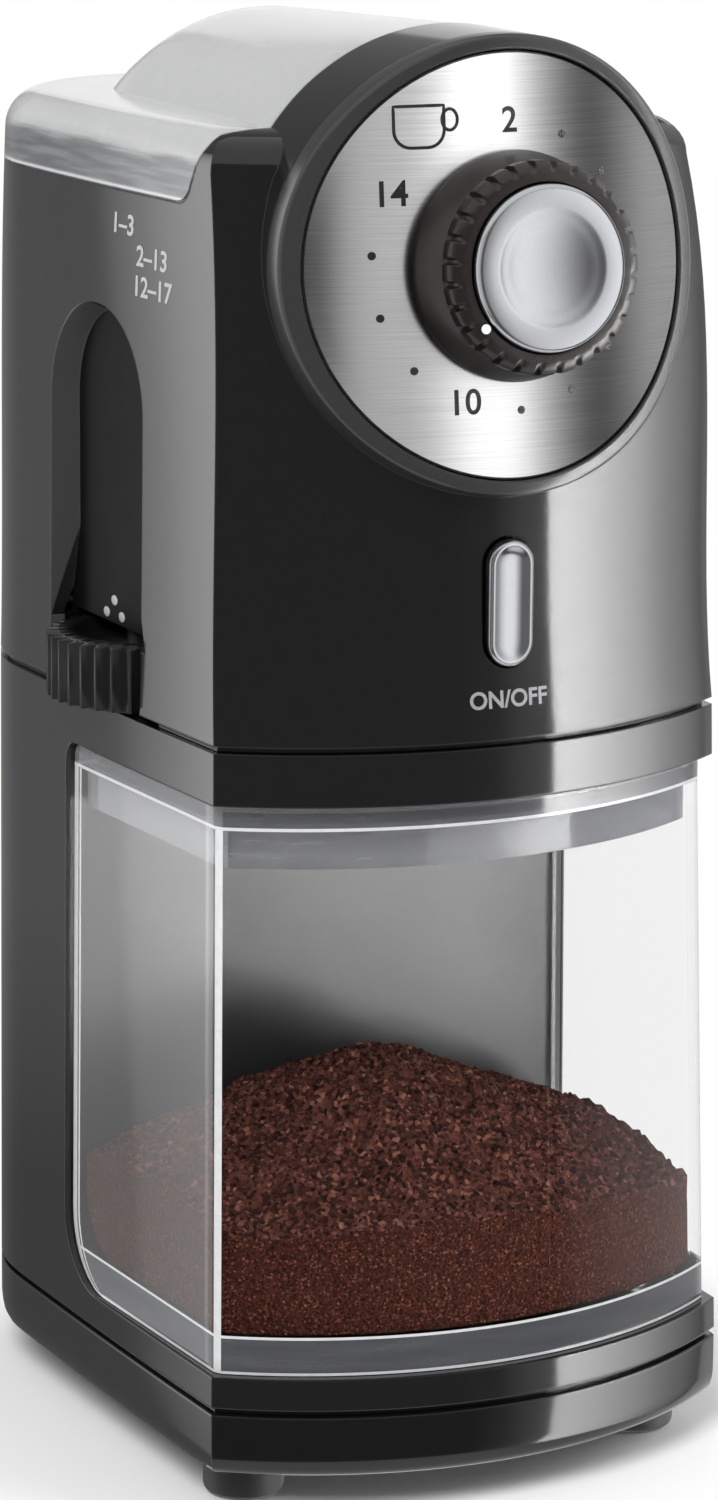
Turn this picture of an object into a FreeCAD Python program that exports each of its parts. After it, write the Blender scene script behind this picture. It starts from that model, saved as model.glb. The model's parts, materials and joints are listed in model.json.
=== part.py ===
import FreeCAD, Part
import math
import os
import re
import Sketcher

from FreeCAD import Placement, Rotation, Vector

# A burr coffee grinder. Its tapered housing stands in three storeys: a base plate on rubber feet, a C-shaped
# lower housing with a bay for the clear grounds container, and an upper housing with a drum-shaped dial in
# front, a hopper for beans on top and a thumb wheel for the grind in the left side. The motor stands in the
# spine behind the container and turns the lower burr directly. The thumb wheel turns a toothed ring whose
# thread raises and lowers the upper burr.
# Millimetres, +Z up, the table at Z 0, the front faces -Y, the middle of the width at X 0.

SIZES = {
    # Heights of the storeys above the table.
    "base_low": 7.5,
    "base_high": 18.7,
    "lower_low": 19.9,
    "lower_high": 135.6,
    "upper_low": 136.8,
    "waist_z": 186,
    "brow_z": 217,
    "rim_high": 227,
    "crest_z": 232.7,
    "shoulder_high": 239.7,
    # Plan of the housing: half width at the front corners, their Y, and half width of the sides.
    "base_half": 50.4,
    "base_front": -46,
    "base_side": 51.8,
    "seam_half": 48.7,
    "seam_front": -43,
    "seam_side": 50.9,
    "waist_half": 47.6,
    "waist_front": -41.2,
    "waist_side": 50.3,
    "brow_half": 46.7,
    "brow_front": -38.9,
    "brow_side": 49.8,
    "crest_half": 45.7,
    "crest_front": -35.2,
    "crest_side": 49.2,
    "front_radius": 83.1,
    "rear_y": 76,
    "rear_radius": 38,
    "base_edge": 1.4,
    "wall": 2.5,
    "lip_gap": 0.2,
    "vent_step": 7,
    "vent_width": 3,
    "vent_half": 14,
    # Bay for the grounds container, and the container.
    "bay_low": 25.5,
    "bay_high": 126.5,
    "bay_rear": 15.5,
    "bay_round": 14,
    "bay_lip": 4,
    "bay_gap": 0.5,
    "bay_rest": 0.1,
    "jar_low_half": 48.9,
    "jar_low_front": -44.6,
    "jar_low_side": 50.4,
    "jar_high_half": 47.3,
    "jar_high_front": -41.7,
    "jar_high_side": 49.5,
    "jar_corner": 5,
    "jar_floor": 32,
    "jar_high": 121.8,
    "jar_wall": 2.6,
    "cover_web": 124,
    "cover_high": 126,
    "cover_rim": 3.2,
    "cover_skirt": 118,
    "cover_skirt_wall": 1.8,
    "heap_peak": 71.5,
    "heap_spread": 108,
    "heap_crown": 7,
    "heap_gap": 0.3,
    # Chute and its port over the container.
    "port_y": -13,
    "port_half": 10,
    "port_reach": 9,
    "chute_wall": 2,
    "chute_high": 136.5,
    # Dial, its drum and the cup knob.
    "dial_y": -57.2,
    "dial_z": 217.7,
    "dial_tilt": 5,
    "plate_radius": 35.75,
    "plate_curve": 90,
    "plate_thick": 0.8,
    "plate_hole": 5,
    "bezel_radius": 38.6,
    "bezel_inner": 36,
    "bezel_proud": 0.6,
    "bezel_back": 3.4,
    "drum_flare": 0.092,
    "drum_back": 42,
    "knob_skirt": 19.4,
    "knob_lift": 0.5,
    "knob_body": 16.9,
    "knob_rib": 0.9,
    "knob_rib_width": 2.6,
    "knob_rib_count": 28,
    "knob_rib_low": 7.5,
    "knob_face": 12.3,
    "knob_seat": 9,
    "cap_radius": 14,
    "cap_high": 13.9,
    "dish_radius": 9.5,
    "dish_depth": 1.8,
    "dot_radius": 0.8,
    "dot_reach": 15.25,
    "dot_turn": 232,
    "stem_radius": 3,
    "timer_radius": 8.5,
    "timer_deep": 10,
    # Start button, its switch and the control board.
    "button_z": 160.3,
    "button_half": 4.3,
    "button_tall": 11,
    "button_face": -58.6,
    "button_back": -51.8,
    "button_flange": 2,
    "button_stem": -48.4,
    "button_gap": 0.4,
    "dish_bow": 7,
    "dish_sink": 0.9,
    "board_y": -36,
    "board_thick": 1.6,
    "board_half": 20,
    "board_low": 146,
    "board_high": 196,
    "standoff_x": 16,
    # Side groove, thumb wheel and the toothed ring.
    "groove_y": 3.8,
    "groove_half": 18.9,
    "groove_floor_half": 17,
    "groove_top": 207,
    "groove_floor": -45.5,
    "wheel_x": -38,
    "wheel_y": 3.5,
    "wheel_low": 136.1,
    "wheel_high": 148,
    "wheel_teeth": 38,
    "ring_teeth": 64,
    "tooth_size": 1,
    "tooth_play": 0.4,
    "wheel_room": 1.1,
    "pocket_wall": 1.6,
    "scallop_room": 3,
    "scallop_high": 166,
    "pin_radius": 2.5,
    "run_gap": 0.05,
    # Grinding chamber and burrs, on the axis of the motor.
    "burr_y": 37.5,
    "chamber_low": 129,
    "chamber_floor": 131.8,
    "chamber_bore": 23.5,
    "chamber_wall": 25.9,
    "chamber_high": 150.4,
    "ledge_radius": 30,
    "ledge_low": 133.6,
    "ledge_high": 136.8,
    "key_width": 3,
    "key_count": 3,
    "burr_radius": 21,
    "burr_seat": 137.5,
    "burr_thick": 4.4,
    "burr_space": 1,
    "lower_eye": 7,
    "upper_eye": 11,
    "burr_flutes": 18,
    "flute_deep": 1.5,
    "shaft_radius": 2.5,
    "shaft_room": 9,
    "bearing_radius": 6.05,
    "seal_radius": 5.2,
    "paddle_count": 6,
    "ring_bore": 26.2,
    "ring_web_low": 151,
    "ring_web_high": 153,
    "ring_eye": 20.3,
    "neck_radius": 20,
    "neck_high": 156,
    # Motor in the spine.
    "motor_radius": 18.5,
    "motor_low": 50,
    "motor_high": 120,
    "motor_wall": 1.2,
    "armature_radius": 14.4,
    "mount_thick": 2,
    "mount_half_x": 30,
    "mount_half_y": 15,
    "mount_hole_x": 25,
    "mount_hole_y": 10,
    # Bean hopper and its lid.
    "hopper_half": 42,
    "hopper_front": -16,
    "hopper_rear": 69,
    "hopper_round": 30,
    "hopper_wall": 2,
    "hopper_flange": 2.4,
    "throat_radius": 17,
    "throat_low": 157,
    "throat_high": 172,
    "lid_front": -31.5,
    "lid_gap": 0.4,
    "lid_wall": 2,
    "hump_z": 215,
    "hump_radius": 41.1,
    "hump_end_radius": 39,
    "hump_length": 70,
    # Feet, screws and the cord inlet.
    "foot_radius": 7.2,
    "foot_x": 39.5,
    "foot_front": -36,
    "foot_rear_x": 33,
    "foot_rear": 50,
    "screw_radius": 1.5,
    "screw_head": 3,
    "tower_radius": 4.5,
    "tower_x": 40,
    "tower_front": -22,
    "tower_rear_x": 36,
    "tower_rear": 40,
    "rib_x": 42,
    "rib_half": 8,
    "rib_thick": 2.4,
    "rib_tall": 11,
    "gland_z": 34,
    "gland_radius": 6,
    "gland_bore": 3.6,
}

doc = FreeCAD.newDocument("burr_grinder")
sheet = doc.addObject("Spreadsheet::Sheet", "size")
for row, (alias, amount) in enumerate(SIZES.items(), 1):
    sheet.set(f"A{row}", alias)
    sheet.set(f"B{row}", str(amount))
    sheet.setAlias(f"B{row}", alias)
doc.recompute()

WORD = re.compile(r"[a-z][a-z_]*")
UP = Vector(0, 0, 1)
ACROSS = Vector(1, 0, 0)
FAR = 90
nodes = []


# Helpers that bind objects to the sheet.

def on_sheet(text):
    """The expression with every driving dimension named on its sheet."""
    return WORD.sub(lambda word: f"size.{word[0]}" if word[0] in SIZES else word[0], str(text))


def number(text):
    """The expression's value in millimetres or degrees."""
    return float(sheet.evalExpression(str(text)))


def bind(thing, **properties):
    """Binds each property of thing to an expression."""
    for name, text in properties.items():
        thing.setExpression(name, on_sheet(text))
    return thing


def place(thing, x="0", y="0", z="0", turn="0", axis=UP):
    """Binds thing's place, turned about axis by an angle in degrees."""
    thing.Placement = Placement(Vector(), Rotation(axis, number(turn)))
    for path, text in (("Base.x", x), ("Base.y", y), ("Base.z", z), ("Rotation.Angle", turn)):
        if str(text) != "0":
            thing.setExpression(f"Placement.{path}", on_sheet(text))
    return thing


def made(thing, label):
    """Names a finished sub-part and lists it for export."""
    thing.Label = label
    nodes.append(thing)
    return thing


# Part primitives and booleans.

def box(name, x, y, z, length, width, height):
    """A box from its lowest corner."""
    thing = doc.addObject("Part::Box", name)
    return place(bind(thing, Length=length, Width=width, Height=height), x, y, z)


def slab(name, half_x, low_y, high_y, low_z, high_z):
    """A box across the middle of the width."""
    return box(name, f"-({half_x})", low_y, low_z, f"2 * ({half_x})", f"({high_y}) - ({low_y})",
               f"({high_z}) - ({low_z})")


def rod(name, radius, x, y, low, high):
    """An upright cylinder."""
    thing = doc.addObject("Part::Cylinder", name)
    return place(bind(thing, Radius=radius, Height=f"({high}) - ({low})"), x, y, low)


def rod_back(name, radius, x, z, front, back):
    """A cylinder along Y, from its front end to its back end."""
    thing = doc.addObject("Part::Cylinder", name)
    return place(bind(thing, Radius=radius, Height=f"({back}) - ({front})"), x, front, z, "-90", ACROSS)


def fuse(name, *things):
    """The union of several solids."""
    thing = doc.addObject("Part::MultiFuse", name)
    thing.Shapes = list(things)
    thing.Refine = True
    return thing


def common(name, *things):
    """What several solids share."""
    thing = doc.addObject("Part::MultiCommon", name)
    thing.Shapes = list(things)
    thing.Refine = True
    return thing


def cut(name, base, *tools):
    """A solid with tools taken out of it."""
    thing = doc.addObject("Part::Cut", name)
    thing.Base = base
    thing.Tool = tools[0] if len(tools) == 1 else fuse(f"{name}_tools", *tools)
    thing.Refine = True
    return thing


def group(name, things):
    """Separate solids under one name."""
    thing = doc.addObject("Part::Compound", name)
    thing.Links = list(things)
    return thing


# Sketches and PartDesign bodies.

def new_body(name):
    """An empty body."""
    return doc.addObject("PartDesign::Body", name)


def new_sketch(body, name, plane="XY_Plane", offset="0"):
    """A sketch on one of the body's own origin planes, shifted along the plane's normal."""
    sketch = body.newObject("Sketcher::SketchObject", name)
    support = next(part for part in body.Origin.OriginFeatures if part.Role == plane)
    sketch.AttachmentSupport = [(support, "")]
    sketch.MapMode = "FlatFace"
    sketch.setExpression("AttachmentOffset.Base.z", on_sheet(offset))
    return sketch


def fix(sketch, kind, text, *where):
    """Adds a constraint whose value is bound to an expression."""
    index = sketch.addConstraint(Sketcher.Constraint(kind, *where, number(text)))
    sketch.setExpression(f"Constraints[{index}]", on_sheet(text))


def draw(sketch, corners):
    """Draws a closed loop through corners given counter-clockwise.

    A corner is (x, y), or (x, y, radius) where the edge that leaves it is an arc, bowed outwards.
    """
    spots = [Vector(number(corner[0]), number(corner[1]), 0) for corner in corners]
    edges = []
    for corner, start, stop in zip(corners, spots, spots[1:] + spots[:1]):
        if len(corner) == 2:
            edges.append(sketch.addGeometry(Part.LineSegment(start, stop)))
            continue
        radius = number(corner[2])
        chord = stop - start
        inward = Vector(-chord.y, chord.x, 0).normalize()
        centre = (start + stop) * 0.5 + inward * math.sqrt(radius ** 2 - chord.Length ** 2 / 4)
        circle = Part.Circle(centre, UP, radius)
        arc = Part.ArcOfCircle(circle, circle.parameter(start), circle.parameter(stop))
        edges.append(sketch.addGeometry(arc))
        fix(sketch, "Radius", corner[2], edges[-1])
    for edge, following in zip(edges, edges[1:] + edges[:1]):
        sketch.addConstraint(Sketcher.Constraint("Coincident", edge, 2, following, 1))
    for corner, edge in zip(corners, edges):
        fix(sketch, "DistanceX", corner[0], -1, 1, edge, 1)
        fix(sketch, "DistanceY", corner[1], -1, 1, edge, 1)


def pad(body, name, corners, low, high, plane="XY_Plane"):
    """A pad of a closed loop between two offsets of a plane."""
    sketch = new_sketch(body, f"{name}_outline", plane, low)
    draw(sketch, corners)
    feature = body.newObject("PartDesign::Pad", name)
    feature.Profile = sketch
    return bind(feature, Length=f"({high}) - ({low})")


def prism(name, corners, low, high, plane="XY_Plane"):
    """A body that is one pad."""
    body = new_body(name)
    pad(body, f"{name}_pad", corners, low, high, plane)
    return body


def revolved(name, profile, x="0", y="0", z="0", turn="0", axis=UP):
    """A body turned about its own Z axis from a profile of radius and height."""
    body = new_body(name)
    sketch = new_sketch(body, f"{name}_profile", "XZ_Plane")
    draw(sketch, profile)
    feature = body.newObject("PartDesign::Revolution", f"{name}_turn")
    feature.Profile = sketch
    feature.ReferenceAxis = (sketch, ["V_Axis"])
    feature.Angle = 360
    return place(body, x, y, z, turn, axis)


def loft(body, name, sections, ruled=False):
    """A loft through loops at heights along Z."""
    sketches = []
    for index, (corners, height) in enumerate(sections):
        sketches.append(new_sketch(body, f"{name}_section_{index}", "XY_Plane", height))
        draw(sketches[-1], corners)
    feature = body.newObject("PartDesign::AdditiveLoft", name)
    feature.Profile = sketches[0]
    feature.Sections = sketches[1:]
    feature.Ruled = ruled
    return feature


def lofted(name, sections, ruled=False):
    """A body that is one loft."""
    body = new_body(name)
    loft(body, f"{name}_loft", sections, ruled)
    return body


def repeated(body, feature, sketch, count):
    """Repeats a feature round the normal of its sketch."""
    pattern = body.newObject("PartDesign::PolarPattern", f"{feature.Name}_ring")
    pattern.Originals = [feature]
    pattern.Axis = (sketch, ["N_Axis"])
    pattern.Angle = 360
    bind(pattern, Occurrences=count)
    body.Tip = pattern
    return pattern


# Outlines that several sub-parts share.

def plan(level, inset="0"):
    """The housing's plan at a named level, moved in from its outer face."""
    half = f"({level}_half - ({inset}))"
    side = f"({level}_side - ({inset}))"
    front = f"({level}_front + ({inset}))"
    rear = f"(rear_y - ({inset}))"
    turn_y = "(rear_y - rear_radius)"
    flat = f"({level}_side - rear_radius)"
    corner = f"(rear_radius - ({inset}))"
    swell = f"({level}_side - {level}_half)"
    bow = f"({swell}^2 + ({turn_y} - {front})^2) / (2 * {swell})"
    return [
        (f"-{half}", front, f"front_radius - ({inset})"),
        (half, front, bow),
        (side, turn_y, corner),
        (flat, rear),
        (f"-{flat}", rear, corner),
        (f"-{side}", turn_y, bow),
    ]


def jar_plan(level, inset="0"):
    """The container's plan at its low or high end, moved in from its outer face."""
    half = f"({level}_half - ({inset}))"
    side = f"({level}_side - ({inset}))"
    front = f"({level}_front + ({inset}))"
    rear = f"(bay_rear - bay_gap - ({inset}))"
    corner = "jar_corner"
    return [
        (f"-{half}", front, f"front_radius - ({inset})"),
        (half, front),
        (side, f"{rear} - {corner}", corner),
        (f"{side} - {corner}", rear),
        (f"-({side} - {corner})", rear, corner),
        (f"-{side}", f"{rear} - {corner}"),
    ]


def bay_profile(low, high, rear, low_round, high_round):
    """Side view of the bay or of what stands in it: open to the front, round at the back."""
    return [
        (f"-{FAR}", low),
        (f"{rear} - ({low_round})", low, low_round),
        (rear, f"{low} + ({low_round})"),
        (rear, f"{high} - ({high_round})", high_round),
        (f"{rear} - ({high_round})", high),
        (f"-{FAR}", high),
    ]


def stadium(half, tall, mid):
    """An upright slot with round ends, as quarter arcs."""
    run = f"({tall} - ({half}))"
    return [
        (half, f"{mid} - {run}"),
        (half, f"{mid} + {run}", half),
        ("0", f"{mid} + ({tall})", half),
        (f"-({half})", f"{mid} + {run}"),
        (f"-({half})", f"{mid} - {run}", half),
        ("0", f"{mid} - ({tall})", half),
    ]


def round_box(half_x, front, rear, radius):
    """A rectangle across the width with round corners."""
    inner_x = f"({half_x} - ({radius}))"
    return [
        (f"-{inner_x}", front),
        (inner_x, front, radius),
        (half_x, f"{front} + ({radius})"),
        (half_x, f"{rear} - ({radius})", radius),
        (inner_x, rear),
        (f"-{inner_x}", rear, radius),
        (f"-({half_x})", f"{rear} - ({radius})"),
        (f"-({half_x})", f"{front} + ({radius})", radius),
    ]


def across(name, profile, half=FAR):
    """A profile of Y and Z padded across the width."""
    return prism(name, profile, f"-({half})", half, "YZ_Plane")


def lid_zone(name, gap, wall="0", deep="0"):
    """The space over the rim that the lid fills, or with a wall the room inside it, deeper by deep."""
    front = f"lid_front + ({gap}) + ({wall})"
    foot = f"rim_high + ({gap})"
    skirt = [(f"{front} + 6", foot)]
    if deep != "0":
        skirt.append((f"{front} + 6", f"{foot} - ({deep})"))
    return across(name, [
        (FAR, f"shoulder_high + {FAR}"),
        (front, f"shoulder_high + {FAR}"),
        (front, "rim_high + 10"),
        (f"{front} + 2.5", f"{foot} + 3.2", "4"),
        *skirt,
        (FAR, f"{foot} - ({deep})"),
    ])


def crown_sections(inset="0"):
    """The rounded top edge of the upper storey, as sections up a quarter circle."""
    radius = "(shoulder_high - crest_z)"
    sections = []
    for angle in (0, 30, 60, 90):
        height = f"crest_z - ({inset}) + {radius} * sin({angle})"
        sections.append((plan("crest", f"{inset} + {radius} * (1 - cos({angle}))"), height))
    return sections


def upper_form(name, inset="0", low="upper_low"):
    """The solid form of the upper storey, moved in from its outer face."""
    body = new_body(name)
    loft(body, f"{name}_walls", [
        (plan("seam", inset), low),
        (plan("waist", inset), "waist_z"),
        (plan("brow", inset), "brow_z"),
        (plan("crest", inset), f"crest_z - ({inset})"),
    ])
    loft(body, f"{name}_crown", crown_sections(inset))
    return body


def at_dial(thing):
    """Places thing on the dial's axis, which leans back; its own Z points out of the dial."""
    return place(thing, "0", "dial_y", "dial_z", "90 - dial_tilt", ACROSS)


def dial_rod(name, radius, back, front):
    """A cylinder on the dial's axis between two depths, front counted outwards."""
    thing = doc.addObject("Part::Cylinder", name)
    bind(thing, Radius=radius, Height=f"({front}) - ({back})")
    place(thing, "0", f"dial_y - ({back}) * cos(dial_tilt)", f"dial_z + ({back}) * sin(dial_tilt)",
          "90 - dial_tilt", ACROSS)
    return thing


def dial_curve(name, proud):
    """The bowed front of the dial as a tall cylinder, proud of the steel plate's face."""
    reach = 70
    thing = doc.addObject("Part::Cylinder", name)
    bind(thing, Radius=f"plate_curve + ({proud})", Height=2 * reach)
    place(thing, "0", f"dial_y + plate_curve * cos(dial_tilt) - {reach} * sin(dial_tilt)",
          f"dial_z - plate_curve * sin(dial_tilt) - {reach} * cos(dial_tilt)", "-dial_tilt", ACROSS)
    return thing


def drum(name, inset, front, back):
    """The flared drum behind the dial, as a solid of revolution."""
    def radius(depth):
        return f"bezel_radius - ({inset}) + drum_flare * ({depth})"
    return at_dial(revolved(name, [
        ("0", f"-({back})"),
        (radius(back), f"-({back})"),
        (radius(front), f"-({front})"),
        ("0", f"-({front})"),
    ]))


# Base plate, feet and screws.

TOWERS = [
    ("-tower_x", "tower_front"),
    ("tower_x", "tower_front"),
    ("-tower_rear_x", "tower_rear"),
    ("tower_rear_x", "tower_rear"),
]
FEET = [
    ("-foot_x", "foot_front"),
    ("foot_x", "foot_front"),
    ("-foot_rear_x", "foot_rear"),
    ("foot_rear_x", "foot_rear"),
]


def make_base_plate():
    """A shallow pan with a lip that locates the lower housing."""
    pan = lofted("pan", [
        (plan("base", "base_edge"), "base_low"),
        (plan("base", "base_edge / 3"), "base_low + base_edge"),
        (plan("base"), "base_low + 3 * base_edge"),
        (plan("base"), "base_high"),
    ], ruled=True)
    lip = prism("pan_lip", plan("base", "wall + lip_gap"), "base_low + wall", "lower_low + wall")
    shoulder = prism("pan_shoulder", plan("base", "wall / 2"), "base_high - 1", "lower_low")
    hollow = prism("pan_hollow", plan("base", "2 * wall"), "base_low + wall", "lower_low + 2 * wall")
    towers = [rod(f"pan_tower_{i}", "tower_radius", x, y, "base_low", "lower_low")
              for i, (x, y) in enumerate(TOWERS)]
    holes = [rod(f"pan_hole_{i}", "screw_radius", x, y, "0", "lower_low + 1")
             for i, (x, y) in enumerate(TOWERS)]
    holes += [rod(f"pan_head_{i}", "screw_head + 0.3", x, y, "0", "base_low + wall + 1")
              for i, (x, y) in enumerate(TOWERS)]
    holes += [rod(f"pan_socket_{i}", "foot_radius / 2", x, y, "0", "base_low + wall + 1")
              for i, (x, y) in enumerate(FEET)]
    vents = [box(f"pan_vent_{i}", f"vent_step * {i} - vent_width / 2", "burr_y - vent_half", "0",
                 "vent_width", "2 * vent_half", "base_low + wall + 1")
             for i in (-2, -1, 0, 1, 2)]
    shell = cut("pan_shell", fuse("pan_body", pan, shoulder, lip), hollow)
    made(cut("base_plate_solid", fuse("pan_towers", shell, *towers), *holes, *vents), "base_plate")


def make_rubber_feet():
    """Four round feet, each with a stem pressed into the base plate."""
    profile = [
        ("0", "0"),
        ("foot_radius - 1.2", "0", "1.7"),
        ("foot_radius", "1.2"),
        ("foot_radius", "base_low"),
        ("foot_radius / 2", "base_low"),
        ("foot_radius / 2", "base_low + wall"),
        ("0", "base_low + wall"),
    ]
    made(group("rubber_feet", [revolved(f"foot_{i}", profile, x, y) for i, (x, y) in enumerate(FEET)]),
         "rubber_feet")


def screw(name, x, y, z, length, turn="0", axis=ACROSS):
    """A pan-head screw whose shank runs along +Z from the face under its head."""
    return revolved(name, [
        ("0", "-1.6"),
        ("screw_head - 0.8", "-1.6", "1"),
        ("screw_head", "-0.9"),
        ("screw_head", "0"),
        ("screw_radius", "0"),
        ("screw_radius", length),
        ("0", length),
    ], x, y, z, turn, axis)


def make_base_screws():
    """Screws that hold the lower housing down on the base plate."""
    screws = [screw(f"base_screw_{i}", x, y, "base_low + wall + 1", "11.5")
              for i, (x, y) in enumerate(TOWERS)]
    made(group("base_screws", screws), "base_screws")


# Lower housing.

MOUNT_HOLES = [(x, f"burr_y {y} mount_hole_y") for x in ("-mount_hole_x", "mount_hole_x") for y in "-+"]


def make_lower_housing():
    """The C-shaped storey: a strip under the container, the spine behind it and a deck above it."""
    outer = lofted("lower_form", [(plan("base"), "lower_low"), (plan("seam"), "lower_high")])
    inner = lofted("lower_inner", [
        (plan("base", "wall"), "lower_low - 1"),
        (plan("seam", "wall"), "lower_high + 1"),
    ])
    bay = across("bay", bay_profile("bay_low", "bay_high", "bay_rear", "bay_round", "bay_lip"))
    skin = across("bay_skin", bay_profile("bay_low - wall", "bay_high + wall", "(bay_rear + wall)",
                                          "bay_round + wall", "bay_lip + wall"))
    deck = slab("deck", FAR, f"-{FAR}", FAR, "bay_high", "bay_high + wall")
    hollow = cut("lower_hollow", inner, skin, deck)
    towers = [rod(f"lower_tower_{i}", "tower_radius", x, y, "lower_low", "bay_low - wall + 0.5")
              for i, (x, y) in enumerate(TOWERS[:2])]
    towers += [rod(f"lower_tower_{i + 2}", "tower_radius", x, y, "lower_low", "lower_low + 14")
               for i, (x, y) in enumerate(TOWERS[2:])]
    towers += [rod(f"mount_boss_{i}", "tower_radius", x, y, "motor_high + mount_thick", "bay_high + 1")
               for i, (x, y) in enumerate(MOUNT_HOLES)]
    ribs = [box(f"tower_rib_{i}", f"{side} * rib_x - rib_half", "tower_rear - rib_thick / 2",
                "lower_low + wall + 0.5", "2 * rib_half", "rib_thick", "rib_tall")
            for i, side in enumerate((-1, 1))]
    walls = common("lower_ribs", fuse("lower_rib_pair", *ribs), outer)
    holes = [rod(f"lower_hole_{i}", "screw_radius", x, y, "lower_low - 1", "bay_low - wall")
             for i, (x, y) in enumerate(TOWERS)]
    holes += [rod(f"mount_hole_{i}", "screw_radius", x, y, "motor_high", "bay_high")
              for i, (x, y) in enumerate(MOUNT_HOLES)]
    shaft_hole = rod("shaft_hole", "shaft_room", "0", "burr_y", "bay_high - 1", "bay_high + wall + 1")
    port = slab("deck_port", "port_half + chute_wall + 0.2", "port_y - port_reach - chute_wall - 0.2",
                "port_y + port_reach + chute_wall + 0.2", "bay_high - 1", "bay_high + wall + 1")
    inlet = rod_back("inlet_hole", "gland_radius", "0", "gland_z", "rear_y - 6", "rear_y + 6")
    rim_root = prism("rim_root", plan("seam", "wall / 2"), "lower_high - 5", "upper_low")
    rim_lip = prism("rim_lip", plan("seam", "wall + 3 * lip_gap"), "lower_high - 5", "upper_low + wall")
    rim_hollow = prism("rim_hollow", plan("seam", "2 * wall"), "lower_high - 6", "upper_low + 2 * wall")
    rim = cut("rim", fuse("rim_form", rim_root, rim_lip), rim_hollow)
    rim_gap = wheel_pocket("rim_gap", "pocket_wall + 3")
    shell = cut("lower_shell", outer, bay, hollow)
    body = fuse("lower_body", shell, rim, walls, *towers)
    made(cut("lower_housing_solid", body, *holes, shaft_hole, port, inlet, rim_gap), "lower_housing")


def make_cord_gland():
    """A flanged bush in the back wall, where the mains lead goes in."""
    body = revolved("cord_gland", [
        ("gland_bore", "-5"),
        ("gland_radius", "-5"),
        ("gland_radius", "0"),
        ("gland_radius + 2", "0"),
        ("gland_radius + 2", "1.2"),
        ("gland_radius + 0.6", "2.4"),
        ("gland_bore", "2.4"),
    ], "0", "rear_y", "gland_z", "-90", ACROSS)
    made(body, "cord_gland")


# Upper housing, dial and knob.

def groove_form(name, grow, floor):
    """The drafted groove in the left side, as a loft across its depth."""
    body = new_body(name)
    sketches = []
    mouth = -56
    for index, (half, offset) in enumerate((("groove_half * 1.12", mouth), ("groove_floor_half", floor))):
        wide = f"({half} + ({grow}))"
        spring = "(groove_top - groove_half)"
        sketches.append(new_sketch(body, f"{name}_section_{index}", "YZ_Plane", offset))
        draw(sketches[-1], [
            (f"groove_y - {wide}", "upper_low - 4"),
            (f"groove_y + {wide}", "upper_low - 4"),
            (f"groove_y + {wide}", spring, wide),
            ("groove_y", f"{spring} + {wide}", wide),
            (f"groove_y - {wide}", spring),
        ])
    feature = body.newObject("PartDesign::AdditiveLoft", f"{name}_loft")
    feature.Profile = sketches[0]
    feature.Sections = sketches[1:]
    feature.Ruled = True
    return body


WHEEL_TIP = "(wheel_teeth * tooth_size / 2 + 0.9 * tooth_size)"


def wheel_pocket(name, grow):
    """The round pocket that the thumb wheel turns in, grown to make its wall."""
    return rod(name, f"{WHEEL_TIP} + wheel_room + ({grow})", "wheel_x", "wheel_y", "wheel_low - 0.4",
               f"wheel_high + wheel_room + ({grow})")


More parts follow.
